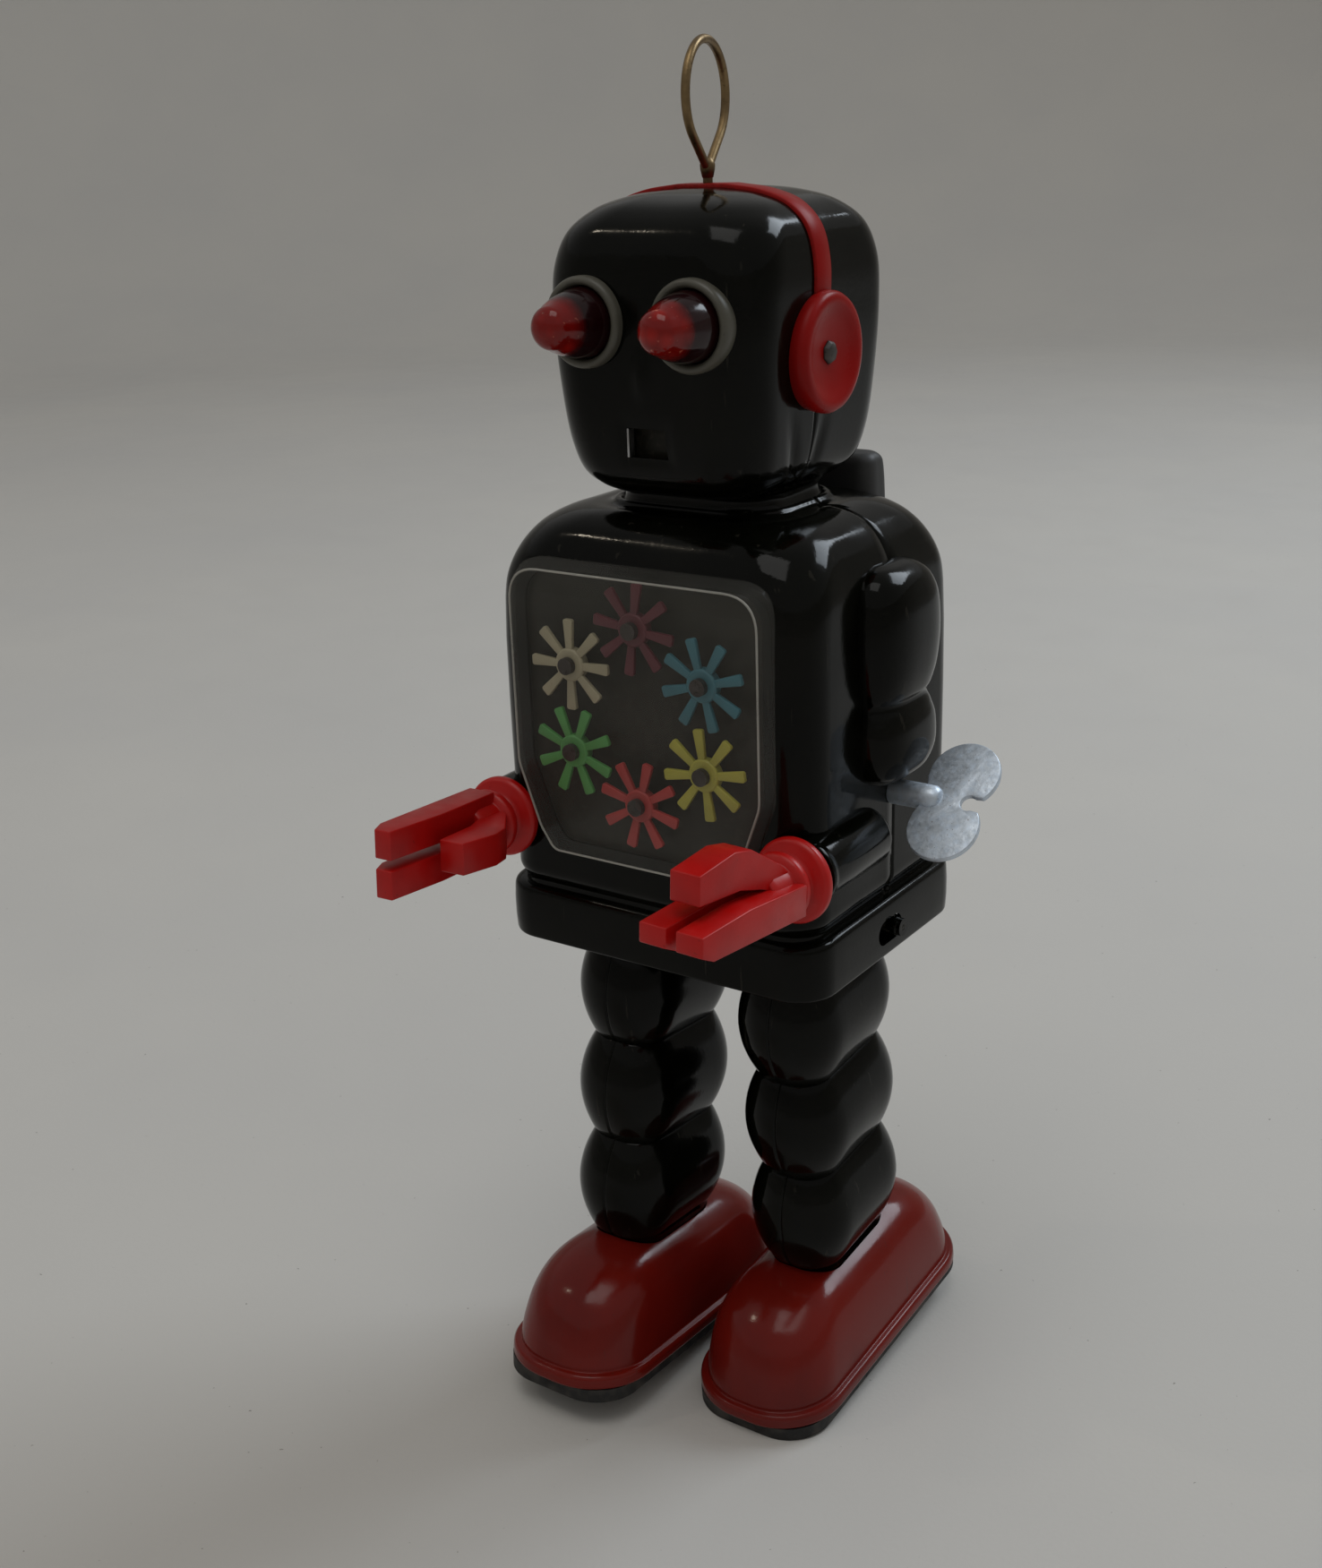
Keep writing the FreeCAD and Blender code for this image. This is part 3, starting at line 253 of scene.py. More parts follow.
def baked(obj):
    """Applies the object's modifiers to its mesh."""
    graph = bpy.context.evaluated_depsgraph_get()
    mesh = bpy.data.meshes.new_from_object(obj.evaluated_get(graph))
    obj.modifiers.clear()
    obj.data = mesh


def make(name, bm, place=BODY, material=None, body="torso", replaces=(), wall=0, cutters=(),
         bevel=0, angle=42):
    """Turns a mesh into a finished piece that rides on a body."""
    mesh = bpy.data.meshes.new(name)
    bm.to_mesh(mesh)
    bm.free()
    obj = bpy.data.objects.new(name, mesh)
    bpy.context.scene.collection.objects.link(obj)
    if wall:
        solid = obj.modifiers.new("wall", "SOLIDIFY")
        solid.thickness, solid.offset, solid.use_even_offset = wall, -1, True
    for cutter in cutters:
        boolean = obj.modifiers.new("cut", "BOOLEAN")
        boolean.operation, boolean.solver, boolean.object = "DIFFERENCE", "EXACT", cutter
    if bevel:
        edge = obj.modifiers.new("bevel", "BEVEL")
        edge.width, edge.segments, edge.limit_method = bevel, 3, "ANGLE"
        edge.angle_limit = math.radians(35)
    baked(obj)
    for cutter in cutters:
        bpy.data.objects.remove(cutter)
    obj.data.transform(place)
    if place.determinant() < 0:
        obj.data.flip_normals()
    obj.data.polygons.foreach_set("use_smooth", [True] * len(obj.data.polygons))
    obj.data.set_sharp_from_angle(angle=math.radians(angle))
    if material:
        obj.data.materials.clear()
        obj.data.materials.append(material)
    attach(obj, body)
    if replaces:
        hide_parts(*replaces)
    return obj


def cutter(bm):
    """A closed form for a boolean cut."""
    mesh = bpy.data.meshes.new("cutter")
    bmesh.ops.recalc_face_normals(bm, faces=bm.faces)
    bm.to_mesh(mesh)
    bm.free()
    obj = bpy.data.objects.new("cutter", mesh)
    bpy.context.scene.collection.objects.link(obj)
    return obj


def block(x, y, z):
    """A box between two values on each axis, as a form for a cut."""
    outline = [(x[0], y[0]), (x[1], y[0]), (x[1], y[1]), (x[0], y[1])]
    return skin([[Vector((u, v, w)) for u, v in outline] for w in z])


# ---------------------------------------------------------------- materials
class Surface:
    """A material of one Principled shader, with helpers that add texture nodes to it."""

    def __init__(self, name, colour, roughness, metallic=0.0, specular=0.4):
        self.material = bpy.data.materials.new(name)
        self.material.use_nodes = True
        self.tree = self.material.node_tree
        self.shader = self.tree.nodes["Principled BSDF"]
        self.place = self.tree.nodes.new("ShaderNodeTexCoord").outputs["Object"]
        self.set("Base Color", (*colour, 1))
        self.set("Roughness", roughness)
        self.set("Metallic", metallic)
        self.set("Specular IOR Level", specular)
        self.colour = (*colour, 1)
        self.normal = None

    def set(self, socket, value):
        self.shader.inputs[socket].default_value = value

    def link(self, output, socket):
        self.tree.links.new(output, self.shader.inputs[socket])

    def stretched(self, scale):
        mapping = self.tree.nodes.new("ShaderNodeMapping")
        mapping.inputs["Scale"].default_value = scale
        self.tree.links.new(self.place, mapping.inputs["Vector"])
        return mapping.outputs["Vector"]

    def noise(self, size, detail=4.0, stretch=(1, 1, 1)):
        """Noise whose features are about that many millimetres across."""
        node = self.tree.nodes.new("ShaderNodeTexNoise")
        node.inputs["Scale"].default_value = 1 / (size * MM)
        node.inputs["Detail"].default_value = detail
        self.tree.links.new(self.stretched(stretch), node.inputs["Vector"])
        return node.outputs["Fac"]

    def cells(self, size):
        node = self.tree.nodes.new("ShaderNodeTexVoronoi")
        node.inputs["Scale"].default_value = 1 / (size * MM)
        self.tree.links.new(self.place, node.inputs["Vector"])
        return node.outputs["Distance"]

    def edges(self):
        """How far a point sticks out: above a half on edges."""
        return self.tree.nodes.new("ShaderNodeNewGeometry").outputs["Pointiness"]

    def remap(self, value, low, high, to_low=0.0, to_high=1.0):
        node = self.tree.nodes.new("ShaderNodeMapRange")
        for socket, number in zip(("From Min", "From Max", "To Min", "To Max"),
                                  (low, high, to_low, to_high)):
            node.inputs[socket].default_value = number
        self.tree.links.new(value, node.inputs["Value"])
        return node.outputs["Result"]

    def times(self, a, b):
        node = self.tree.nodes.new("ShaderNodeMath")
        node.operation = "MULTIPLY"
        for value, socket in ((a, node.inputs[0]), (b, node.inputs[1])):
            if isinstance(value, (int, float)):
                socket.default_value = value
            else:
                self.tree.links.new(value, socket)
        return node.outputs[0]

    def tint(self, share, colour):
        """Mixes a colour over what is there, by a share that varies over the surface."""
        node = self.tree.nodes.new("ShaderNodeMix")
        node.data_type = "RGBA"
        self.tree.links.new(share, node.inputs["Factor"])
        if isinstance(self.colour, tuple):
            node.inputs["A"].default_value = self.colour
        else:
            self.tree.links.new(self.colour, node.inputs["A"])
        node.inputs["B"].default_value = (*colour, 1)
        self.colour = node.outputs["Result"]
        self.link(self.colour, "Base Color")

    def bump(self, height, depth, strength=1.0):
        """Raises the surface by up to that many millimetres."""
        node = self.tree.nodes.new("ShaderNodeBump")
        node.inputs["Distance"].default_value = depth * MM
        node.inputs["Strength"].default_value = strength
        self.tree.links.new(height, node.inputs["Height"])
        if self.normal:
            self.tree.links.new(self.normal, node.inputs["Normal"])
        self.normal = node.outputs["Normal"]
        self.link(self.normal, "Normal")


def lacquer(name, colour, dust, worn, roughness=(0.10, 0.26), wave=0.35, specular=0.22):
    """Glossy paint on thin tin: slow waves in the metal, hazy patches, specks and worn edges."""
    s = Surface(name, colour, roughness[0], specular=specular)
    haze = s.noise(16, 5)
    s.tint(s.remap(haze, 0.44, 0.72, 0, 0.5), dust)
    s.tint(s.remap(s.noise(0.9, 2), 0.70, 0.76, 0, 0.35), dust)
    scratches = s.noise(1.6, 2, (1, 1, 0.06))
    s.tint(s.remap(scratches, 0.70, 0.74, 0, 0.25), worn)
    s.tint(s.times(s.remap(s.edges(), 0.56, 0.66), s.remap(s.noise(1.2, 4), 0.5, 0.62)), worn)
    s.link(s.remap(s.noise(11, 5), 0.35, 0.7, *roughness), "Roughness")
    s.bump(s.noise(22, 1), wave)
    s.bump(s.noise(0.7, 2), 0.012)
    return s.material


def plastic(name, colour, shade, roughness=(0.28, 0.45), glow=0.0):
    """Moulded plastic: faint flow marks, grime specks, painted shade in its hollows and softened gloss."""
    s = Surface(name, colour, roughness[0])
    if glow:
        s.set("Subsurface Weight", glow)
        s.set("Subsurface Radius", (1.0, 0.25, 0.2))
        s.set("Subsurface Scale", 1.5 * MM)
    s.tint(s.remap(s.noise(7, 4), 0.42, 0.72, 0, 0.45), shade)
    # painted shade: darker where the surface is hollow, in creases and inner corners
    s.tint(s.remap(s.edges(), 0.49, 0.42, 0, 0.6), shade)
    s.tint(s.remap(s.noise(0.8, 2), 0.69, 0.75, 0, 0.4), tuple(c * 0.3 for c in shade))
    s.link(s.remap(s.noise(4, 4), 0.3, 0.7, *roughness), "Roughness")
    s.bump(s.noise(3, 3), 0.05)
    s.bump(s.noise(0.35, 2), 0.006)
    return s.material


def metal(name, colour, stain, roughness=(0.3, 0.5), grain=(1, 1, 1)):
    """Bare metal with stains and fine marks."""
    s = Surface(name, colour, roughness[0], metallic=1.0)
    s.tint(s.remap(s.noise(5, 5), 0.42, 0.68, 0, 0.8), stain)
    s.tint(s.remap(s.noise(0.7, 3), 0.62, 0.74, 0, 0.6), tuple(c * 0.4 for c in stain))
    s.link(s.remap(s.noise(1.8, 5, grain), 0.3, 0.7, *roughness), "Roughness")
    s.bump(s.noise(0.5, 3, grain), 0.02)
    return s.material


def galvanised(name):
    """Grey plated steel with a mottled, crystalline skin."""
    s = Surface(name, (0.66, 0.75, 0.86), 0.4, metallic=0.7)
    s.tint(s.remap(s.noise(1.6, 6), 0.42, 0.66, 0, 0.6), (0.42, 0.47, 0.52))
    s.tint(s.remap(s.cells(1.3), 0.25, 0.6, 0, 0.35), (0.66, 0.70, 0.74))
    s.tint(s.remap(s.noise(0.5, 2), 0.68, 0.74, 0, 0.7), (0.16, 0.10, 0.06))
    s.link(s.remap(s.noise(0.9, 4), 0.3, 0.7, 0.36, 0.6), "Roughness")
    s.bump(s.noise(0.8, 4), 0.04)
    return s.material


def clear(name, veil):
    """Clear plastic, hazy with age and fine scratches; veil is how dense the haze is."""
    s = Surface(name, (0.50, 0.49, 0.44), 0.12, specular=0.7)
    s.tint(s.remap(s.noise(9, 3), 0.4, 0.7, 0, 0.5), (0.34, 0.33, 0.29))
    s.link(s.remap(s.noise(18, 4), 0.35, 0.7, veil[0], veil[1]), "Alpha")
    s.link(s.remap(s.noise(2, 4, (1, 1, 0.2)), 0.4, 0.7, 0.08, 0.2), "Roughness")
    s.bump(s.noise(24, 1), 0.25)
    return s.material


def red_lens(name, base, tip):
    """Clear red moulding with painted light: near black in the cone as painted shade, bright red in its round tip
    as light shining through, with painted glints.
    """
    s = Surface(name, (0.018, 0.002, 0.003), 0.10, specular=0.4)
    split = s.tree.nodes.new("ShaderNodeSeparateXYZ")
    s.tree.links.new(s.place, split.inputs[0])
    near_tip = s.remap(split.outputs["Y"], base + (tip - base) * 0.42, base + (tip - base) * 0.66)
    # painted light: the tip turns bright red where light shines through it, and the cone stays near black as shade
    s.tint(near_tip, (0.26, 0.006, 0.004))
    # painted glints: brighter red cells and pale orange specks near the tip
    s.tint(s.times(near_tip, s.remap(s.cells(3.2), 0.5, 0.1, 0, 0.35)), (0.75, 0.02, 0.01))
    s.tint(s.times(near_tip, s.remap(s.noise(1.2, 2), 0.66, 0.74, 0, 0.5)), (1.0, 0.30, 0.18))
    s.set("Transmission Weight", 0.25)
    s.set("IOR", 1.45)
    s.link(s.remap(s.noise(2.5, 3), 0.4, 0.7, 0.06, 0.18), "Roughness")
    s.bump(s.noise(2.5, 2), 0.05)
    return s.material


def rubber(name, colour):
    s = Surface(name, colour, 0.6)
    s.tint(s.remap(s.noise(3, 4), 0.45, 0.7, 0, 0.6), (0.09, 0.08, 0.07))
    s.link(s.remap(s.noise(1.5, 3), 0.3, 0.7, 0.5, 0.8), "Roughness")
    s.bump(s.noise(0.4, 3), 0.03)
    return s.material


def paper(name):
    """The plain pale surface that the robot stands on, with faint dust."""
    s = Surface(name, (0.62, 0.60, 0.565), 0.75, specular=0.25)
    s.tint(s.remap(s.noise(160, 3), 0.35, 0.7, 0, 0.35), (0.55, 0.54, 0.53))
    s.tint(s.remap(s.noise(1.5, 2), 0.755, 0.78, 0, 0.7), (0.20, 0.18, 0.16))
    s.link(s.remap(s.noise(30, 3), 0.3, 0.7, 0.6, 0.85), "Roughness")
    s.bump(s.noise(1.2, 3), 0.05)
    return s.material


BLACK = lacquer("black_lacquer", (0.0016, 0.0018, 0.0010), (0.006, 0.006, 0.004), (0.05, 0.045, 0.035),
                (0.06, 0.18), specular=0.14)
GREY = lacquer("grey_lacquer", (0.055, 0.055, 0.055), (0.10, 0.09, 0.08), (0.2, 0.18, 0.15),
               (0.35, 0.55), 0.15)
RED_PAINT = lacquer("red_enamel", (0.30, 0.006, 0.005), (0.18, 0.006, 0.005), (0.08, 0.008, 0.006),
                    (0.25, 0.45), 0.1, 0.12)
FOOT_RED = lacquer("foot_lacquer", (0.17, 0.008, 0.004), (0.085, 0.008, 0.007), (0.05, 0.02, 0.015),
                   (0.12, 0.26), 0.2, 0.28)
HAND_RED = plastic("hand_plastic", (0.50, 0.004, 0.003), (0.30, 0.004, 0.003), glow=0.08)
BEZEL = plastic("bezel_plastic", (0.10, 0.095, 0.075), (0.045, 0.042, 0.032))
LENS = red_lens("lens_plastic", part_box("eye_bezel_left")[0].y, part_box("eye_lens_left")[0].y)
LENS_CORE = plastic("lens_core", (0.6, 0.015, 0.008), (0.3, 0.006, 0.005), (0.15, 0.3), glow=0.2)
CLEAR = clear("window_plastic", (0.05, 0.10))
# pale, denser clear plastic for the bead that paints the window edge's highlight
RIM_HIGHLIGHT = clear("window_edge_highlight", (0.35, 0.75))
BACKING = lacquer("backing_paint", (0.012, 0.011, 0.007), (0.020, 0.018, 0.012), (0.03, 0.027, 0.02),
                  (0.4, 0.6), 0.05)
KEY_STEEL = galvanised("key_steel")
BRASS_WIRE = metal("antenna_wire", (0.26, 0.18, 0.09), (0.10, 0.065, 0.035), (0.35, 0.55))
STEEL = metal("plain_steel", (0.50, 0.51, 0.52), (0.28, 0.27, 0.25), (0.28, 0.45), (1, 1, 0.15))
BRASS = metal("works_brass", (0.66, 0.47, 0.20), (0.38, 0.25, 0.10), (0.25, 0.4))
BLUED = metal("spring_steel", (0.16, 0.18, 0.22), (0.08, 0.08, 0.09), (0.25, 0.4))
DARK_METAL = metal("dark_rivets", (0.10, 0.09, 0.085), (0.05, 0.045, 0.04), (0.4, 0.6))
SOLE = rubber("sole_paint", (0.012, 0.012, 0.012))
WHEEL_COLOURS = {"top": (0.10, 0.013, 0.022), "upper_left": (0.040, 0.155, 0.19),
                 "lower_left": (0.40, 0.37, 0.05), "bottom": (0.38, 0.035, 0.032),
                 "lower_right": (0.08, 0.29, 0.07), "upper_right": (0.36, 0.32, 0.21)}

# ---------------------------------------------------------------- head
# Each row: share of the height, of the half width, of the half depth, corner against half width.
HEAD_FORM = [(0.0, 0.69, 0.72, 0.38), (0.02, 0.76, 0.79, 0.39), (0.07, 0.855, 0.89, 0.42),
             (0.17, 0.915, 0.95, 0.42), (0.37, 0.96, 0.985, 0.40), (0.60, 0.99, 1.0, 0.40),
             (0.76, 0.995, 0.985, 0.44), (0.87, 0.93, 0.92, 0.47), (0.94, 0.78, 0.78, 0.46),
             (0.98, 0.54, 0.56, 0.34), (1.0, 0.22, 0.26, 0.15)]
HEAD_SIZE = HEAD_HIGH - HEAD_LOW
HEAD_HALF_WIDTH, HEAD_HALF_DEPTH = HEAD_SIZE.x / 2, HEAD_SIZE.y / 2
HEAD_SECTIONS = smooth_sections(
    [(HEAD_LOW.z + s * HEAD_SIZE.z, w * HEAD_HALF_WIDTH, d * HEAD_HALF_DEPTH, r * HEAD_HALF_WIDTH)
     for s, w, d, r in HEAD_FORM], 8)
MOUTH = {"half_width": 3.9, "low": 185.0, "high": 190.0}
EYE_HOLE = 6.2                              # radius of the holes behind the eye bezels
NOSE = {"low": 195.0, "high": 201.0, "half_width": 1.1, "height": 0.55}


def emboss_face(bm):
    """A low vertical fold for the nose, a shallow frame round the mouth and folds under the ears."""
    for vert in bm.verts:
        x, y, z = vert.co
        if y < -HEAD_HALF_DEPTH * 0.7:
            rise = math.exp(-(x / NOSE["half_width"]) ** 2)
            middle, reach = (NOSE["low"] + NOSE["high"]) / 2, (NOSE["high"] - NOSE["low"]) / 2
            vert.co.y -= NOSE["height"] * rise * math.exp(-((z - middle) / reach) ** 4)
            across = abs(x) - MOUTH["half_width"] - 1.0
            up = abs(z - (MOUTH["low"] + MOUTH["high"]) / 2) - (MOUTH["high"] - MOUTH["low"]) / 2 - 1.0
            edge = max(across, up)
            vert.co.y += 0.35 / (1 + math.exp(4 * edge))
        elif abs(x) > HEAD_HALF_WIDTH * 0.8 and z < HEAD_LOW.z + 16:
            fade = min(1, (HEAD_LOW.z + 16 - z) / 8) * min(1, (z - HEAD_LOW.z) / 4)
            for start, end in ((-8.5, -4.0), (4.0, 0.5)):
                line = start + (end - start) * (HEAD_LOW.z + 16 - z) / 16
                depth = 0.45 * fade * math.exp(-((y - HEAD_SEAM_Y - line) / 1.3) ** 2)
                vert.co.x -= math.copysign(depth, x)


def head():
    rings = [rounded_ring(*s, arc_steps=14, flat_steps=26) for s in HEAD_SECTIONS]
    form = skin(rings, cap_low=False)
    emboss_face(form)
    groove(form, 1, HEAD_SEAM_Y, 0.5, 0.3)
    half = MOUTH["half_width"]
    holes = [cutter(block((-half, half), (-40, -15), (MOUTH["low"], MOUTH["high"])))]
    eye_low, eye_high = span("eye_lens_left")
    eye = (eye_low + eye_high) / 2
    for sign in SIDES.values():
        hole = lathe([(EYE_HOLE, -40), (EYE_HOLE, -15)])
        holes.append(cutter(moved(hole, x=sign * eye.x, z=eye.z)))
    make("head_front", half_of(form, 1, HEAD_SEAM_Y, False), material=BLACK, wall=TIN, cutters=holes,
         replaces=["head_front_shell"])
    make("head_rear", half_of(form, 1, HEAD_SEAM_Y, True), material=BLACK, wall=TIN,
         replaces=["head_rear_shell"])
    form.free()


def mouth_plate():
    """Bright folded edge of the tin at one side of the mouth."""
    edge = block((-MOUTH["half_width"] + 0.05, -MOUTH["half_width"] + 0.45),
                 (-HEAD_HALF_DEPTH * 0.955, -HEAD_HALF_DEPTH * 0.955 + 1.6),
                 (MOUTH["low"] + 0.1, MOUTH["high"] - 0.1))
    make("mouth_edge", edge, material=STEEL, bevel=0.08)
    back = block((-MOUTH["half_width"] - 1, MOUTH["half_width"] + 1),
                 (-HEAD_HALF_DEPTH * 0.955 + 3.2, -HEAD_HALF_DEPTH * 0.955 + 3.6),
                 (MOUTH["low"] - 1, MOUTH["high"] + 1))
    make("mouth_back", back, material=BACKING, bevel=0.1)


def head_band():
    """An enamelled strap over the head from ear to ear, with rounded edges."""
    low, high = span("head_band")
    half, centre_y = (high.y - low.y) / 2 - 0.45, (high.y + low.y) / 2
    side = [Vector((w, 0, z)) for z, w, *_ in HEAD_SECTIONS if z > low.z - 2]
    path = side + [Vector((-p.x, 0, p.z)) for p in side[::-1]]
    profile = [(-half, -0.1), (-half, 0.45), (-half + 0.25, 0.6), (half - 0.25, 0.6), (half, 0.45),
               (half, -0.1)]
    rings = []
    for i, point in enumerate(path):
        along = (path[min(i + 1, len(path) - 1)] - path[max(i - 1, 0)]).normalized()
        out = Vector((along.z, 0, -along.x))
        rings.append([point + out * h + Vector((0, centre_y + y, 0)) for y, h in profile])
    make("band", skin(rings), material=RED_PAINT, replaces=["head_band"], angle=60)


def ears():
    for side in SIDES:
        low, high = span("ear_disc_left")
        radius, outer = (high.z - low.z) / 2, high.x
        centre = Vector((0, (low.y + high.y) / 2, (low.z + high.z) / 2))
        profile = [(radius - 0.6, low.x - 0.5), (radius - 0.15, outer - 2.6), (radius, outer - 1.9),
                   (radius - 0.05, outer - 1.0), (radius - 0.5, outer - 0.25), (radius - 1.3, outer),
                   (radius - 2.2, outer - 0.15), (radius - 3.1, outer - 0.55),
                   (radius - 4.6, outer - 0.95), (3.4, outer - 1.15), (2.6, outer - 1.25),
                   (1.5, outer - 1.3), (0.4, outer - 1.3)]
        disc = moved(lathe(profile, "X", 96), *centre)
        make("ear_" + side, disc, BODY @ MIRROR[side], RED_PAINT, replaces=["ear_disc_" + side],
             angle=70)
        face = outer - 1.3
        rivet = lathe([(2.0, face - 0.3), (2.0, face + 0.25), (1.55, face + 0.75), (0.7, face + 1.0),
                       (0, face + 1.05)], "X", 7)
        rivet = moved(rivet, *centre)
        stands_for = ["ear_rivets"] if side == "left" else []
        make("ear_rivet_" + side, rivet, BODY @ MIRROR[side], DARK_METAL, replaces=stands_for,
             bevel=0.12)


def eyes():
    bezel_low, bezel_high = span("eye_bezel_left")
    low, high = span("eye_lens_left")
    centre = Vector(((low.x + high.x) / 2, 0, (low.z + high.z) / 2))
    radius, tip, base = (high.x - low.x) / 2, low.y, bezel_low.y
    rim = (bezel_high.x - bezel_low.x) / 2
    length = base - tip
    for side in SIDES:
        place = BODY @ MIRROR[side]
        ring = [(rim - 0.3, base + 4), (rim, base + 2.5), (rim, base + 0.8), (rim - 0.35, base + 0.2),
                (rim - 0.9, base), (radius + 0.35, base + 0.3), (radius + 0.1, base + 1.2),
                (radius + 0.1, base + 4)]
        bezel = moved(lathe(ring, segments=96), *centre)
        make("bezel_" + side, bezel, place, BEZEL, replaces=["eye_bezel_" + side],
             angle=65)
        cone = [(radius - 0.15, base + 2.6), (radius, base + 0.9), (radius - 0.15, base - 0.6),
                (radius * 0.94, base - length * 0.18), (radius * 0.85, base - length * 0.4),
                (radius * 0.73, base - length * 0.6), (radius * 0.62, base - length * 0.74)]
        dome = [(radius * 0.62 * math.cos(a), base - length * 0.74 - length * 0.26 * math.sin(a))
                for a in (math.radians(12 * k) for k in range(1, 8))]
        lens = moved(lathe([*cone, *dome, (0, tip)], segments=72), *centre)
        make("lens_" + side, lens, place, LENS, replaces=["eye_lens_" + side],
             angle=70)
        facets = lathe([(radius * 0.30, base - length * 0.30), (radius * 0.48, base - length * 0.60),
                        (radius * 0.40, base - length * 0.80), (0, base - length * 0.90)], segments=7)
        facets = moved(facets, *centre)
        make("lens_core_" + side, facets, place, LENS_CORE, angle=10)


def antenna_loop():
    """A brown wire loop shaped like a drop, with its two ends soldered to a short stem."""
    low, high = span("antenna")
    wire, radius = 0.75, 8.6
    centre_z = high.z - wire - radius
    fork_z = HEAD_HIGH.z + 2.8
    twist = math.atan2((high.x - low.x) / 2 - wire, (high.y - low.y) / 2 - wire)
    lean = math.asin(radius / (centre_z - fork_z))
    arc = [Vector((0, radius * math.cos(a), centre_z + radius * math.sin(a)))
           for a in (-lean + (math.pi + 2 * lean) * k / 48 for k in range(49))]
    fork = Vector((0, 0, fork_z))
    right = [fork.lerp(arc[0], k / 6) for k in range(6)]
    left = [arc[-1].lerp(fork, k / 6) for k in range(1, 7)]
    loop = tube([*right, *arc, *left], wire)
    stem = tube([Vector((0, 0, HEAD_HIGH.z - 1.5 + 0.5 * k)) for k in range(10)], wire * 1.1)
    solder = lathe([(0, fork_z - 1.8), (0.95, fork_z - 1.3), (1.25, fork_z), (1.3, fork_z + 0.8),
                    (0.9, fork_z + 1.7), (0, fork_z + 2.0)], "Z", 24)
    whole = merged(loop, stem, solder)
    place = BODY @ Matrix.Translation((0, (low.y + high.y) / 2, 0)) @ Matrix.Rotation(twist, 4, "Z")
    make("antenna_wire", whole, place, BRASS_WIRE, replaces=["antenna"], angle=60)


def neck():
    half_w, half_d = (COLLAR_HIGH.x - COLLAR_LOW.x) / 2, (COLLAR_HIGH.y - COLLAR_LOW.y) / 2
    low, high = COLLAR_LOW.z, COLLAR_HIGH.z
    rows = [(low - 0.5, half_w - 0.2, half_d - 0.2, 8), (low + 0.8, half_w - 0.7, half_d - 0.7, 8),
            (high - 0.6, half_w - 0.7, half_d - 0.7, 8), (high + 0.4, half_w - 0.2, half_d - 0.2, 8)]
    make("neck", box_form(rows, 3, cap_low=False, cap_high=False), material=BLACK, wall=TIN,
         replaces=["neck_collar"])


# ---------------------------------------------------------------- torso
TORSO_SIZE = TORSO_HIGH - TORSO_LOW
TORSO_W, TORSO_D = TORSO_SIZE.x / 2 + 0.9, TORSO_SIZE.y / 2 + 0.3
TORSO_FORM = [(0.0, 1.0, 1.0, 6.4), (1.0, 1.0, 1.0, 6.4), (2.0, 0.5, 0.5, 6.9), (3.2, 0.05, 0.05, 7.2),
              (6.0, 0.0, 0.0, 7.4), (54.0, 0.0, 0.0, 7.8), (59.0, 0.4, 0.4, 8.8),
              (63.4, 1.9, 1.6, 10.2),
              (66.8, 4.4, 3.8, 10.8), (69.0, 8.0, 6.9, 10.4), (69.9, 11.4, 9.8, 9.8),
              (70.1, 14.6, 12.4, 9.2), (70.9, 15.6, 12.9, 8.8), (70.9, 16.4, 13.4, 8.4),
              (70.0, 16.8, 13.6, 8.2)]
WINDOW = {"knee": (22.4, 118.0), "waist_z": 130.0, "foot": 19.0, "corner": 7.0}


def window_ring(y, inset):
    """The window's outline: round upper corners and slanted, softened lower ones."""
    half = WINDOW_HIGH.x - 0.35 - inset
    top, low = WINDOW_HIGH.z - 0.55 - inset, WINDOW_LOW.z + 0.15 + inset
    corners = [((WINDOW["foot"] - inset / 2, low), 2.5),
               ((WINDOW["knee"][0] - inset, WINDOW["knee"][1] + inset / 3), 5.0),
               ((half, WINDOW["waist_z"]), 8.0), ((half, top), WINDOW["corner"] - inset / 2)]
    points = []
    outline = corners + [((-x, z), r) for (x, z), r in corners[::-1]]
    count = len(outline)
    for i, ((x, z), r) in enumerate(outline):
        here = Vector((x, z))
        before = (Vector(outline[i - 1][0]) - here).normalized()
        after = (Vector(outline[(i + 1) % count][0]) - here).normalized()
        reach = r / math.tan(before.angle(after) / 2)
        start, end = here + before * reach, here + after * reach
        for k in range(9):
            t = k / 8
            p = start * (1 - t) ** 2 + here * 2 * t * (1 - t) + end * t ** 2
            points.append(Vector((p.x, y, p.y)))
    return points


def torso():
    sections = [(TORSO_LOW.z + z, TORSO_W - w, TORSO_D - d, r) for z, w, d, r in TORSO_FORM]
    rings = [rounded_ring(*s, arc_steps=12, flat_steps=12) for s in smooth_sections(sections, 5)]
    form = skin(rings, cap_low=False, cap_high=False)
    groove(form, 1, TORSO_SEAM_Y, 0.45, 0.3)
    hole = cutter(skin([window_ring(-45, 2.2), window_ring(-18, 2.2)]))
    make("torso_front", half_of(form, 1, TORSO_SEAM_Y, False), material=BLACK, wall=TIN,
         cutters=[hole], replaces=["torso_front_shell"])
    make("torso_rear", half_of(form, 1, TORSO_SEAM_Y, True), material=BLACK, wall=TIN,
         replaces=["torso_rear_shell"])
    form.free()


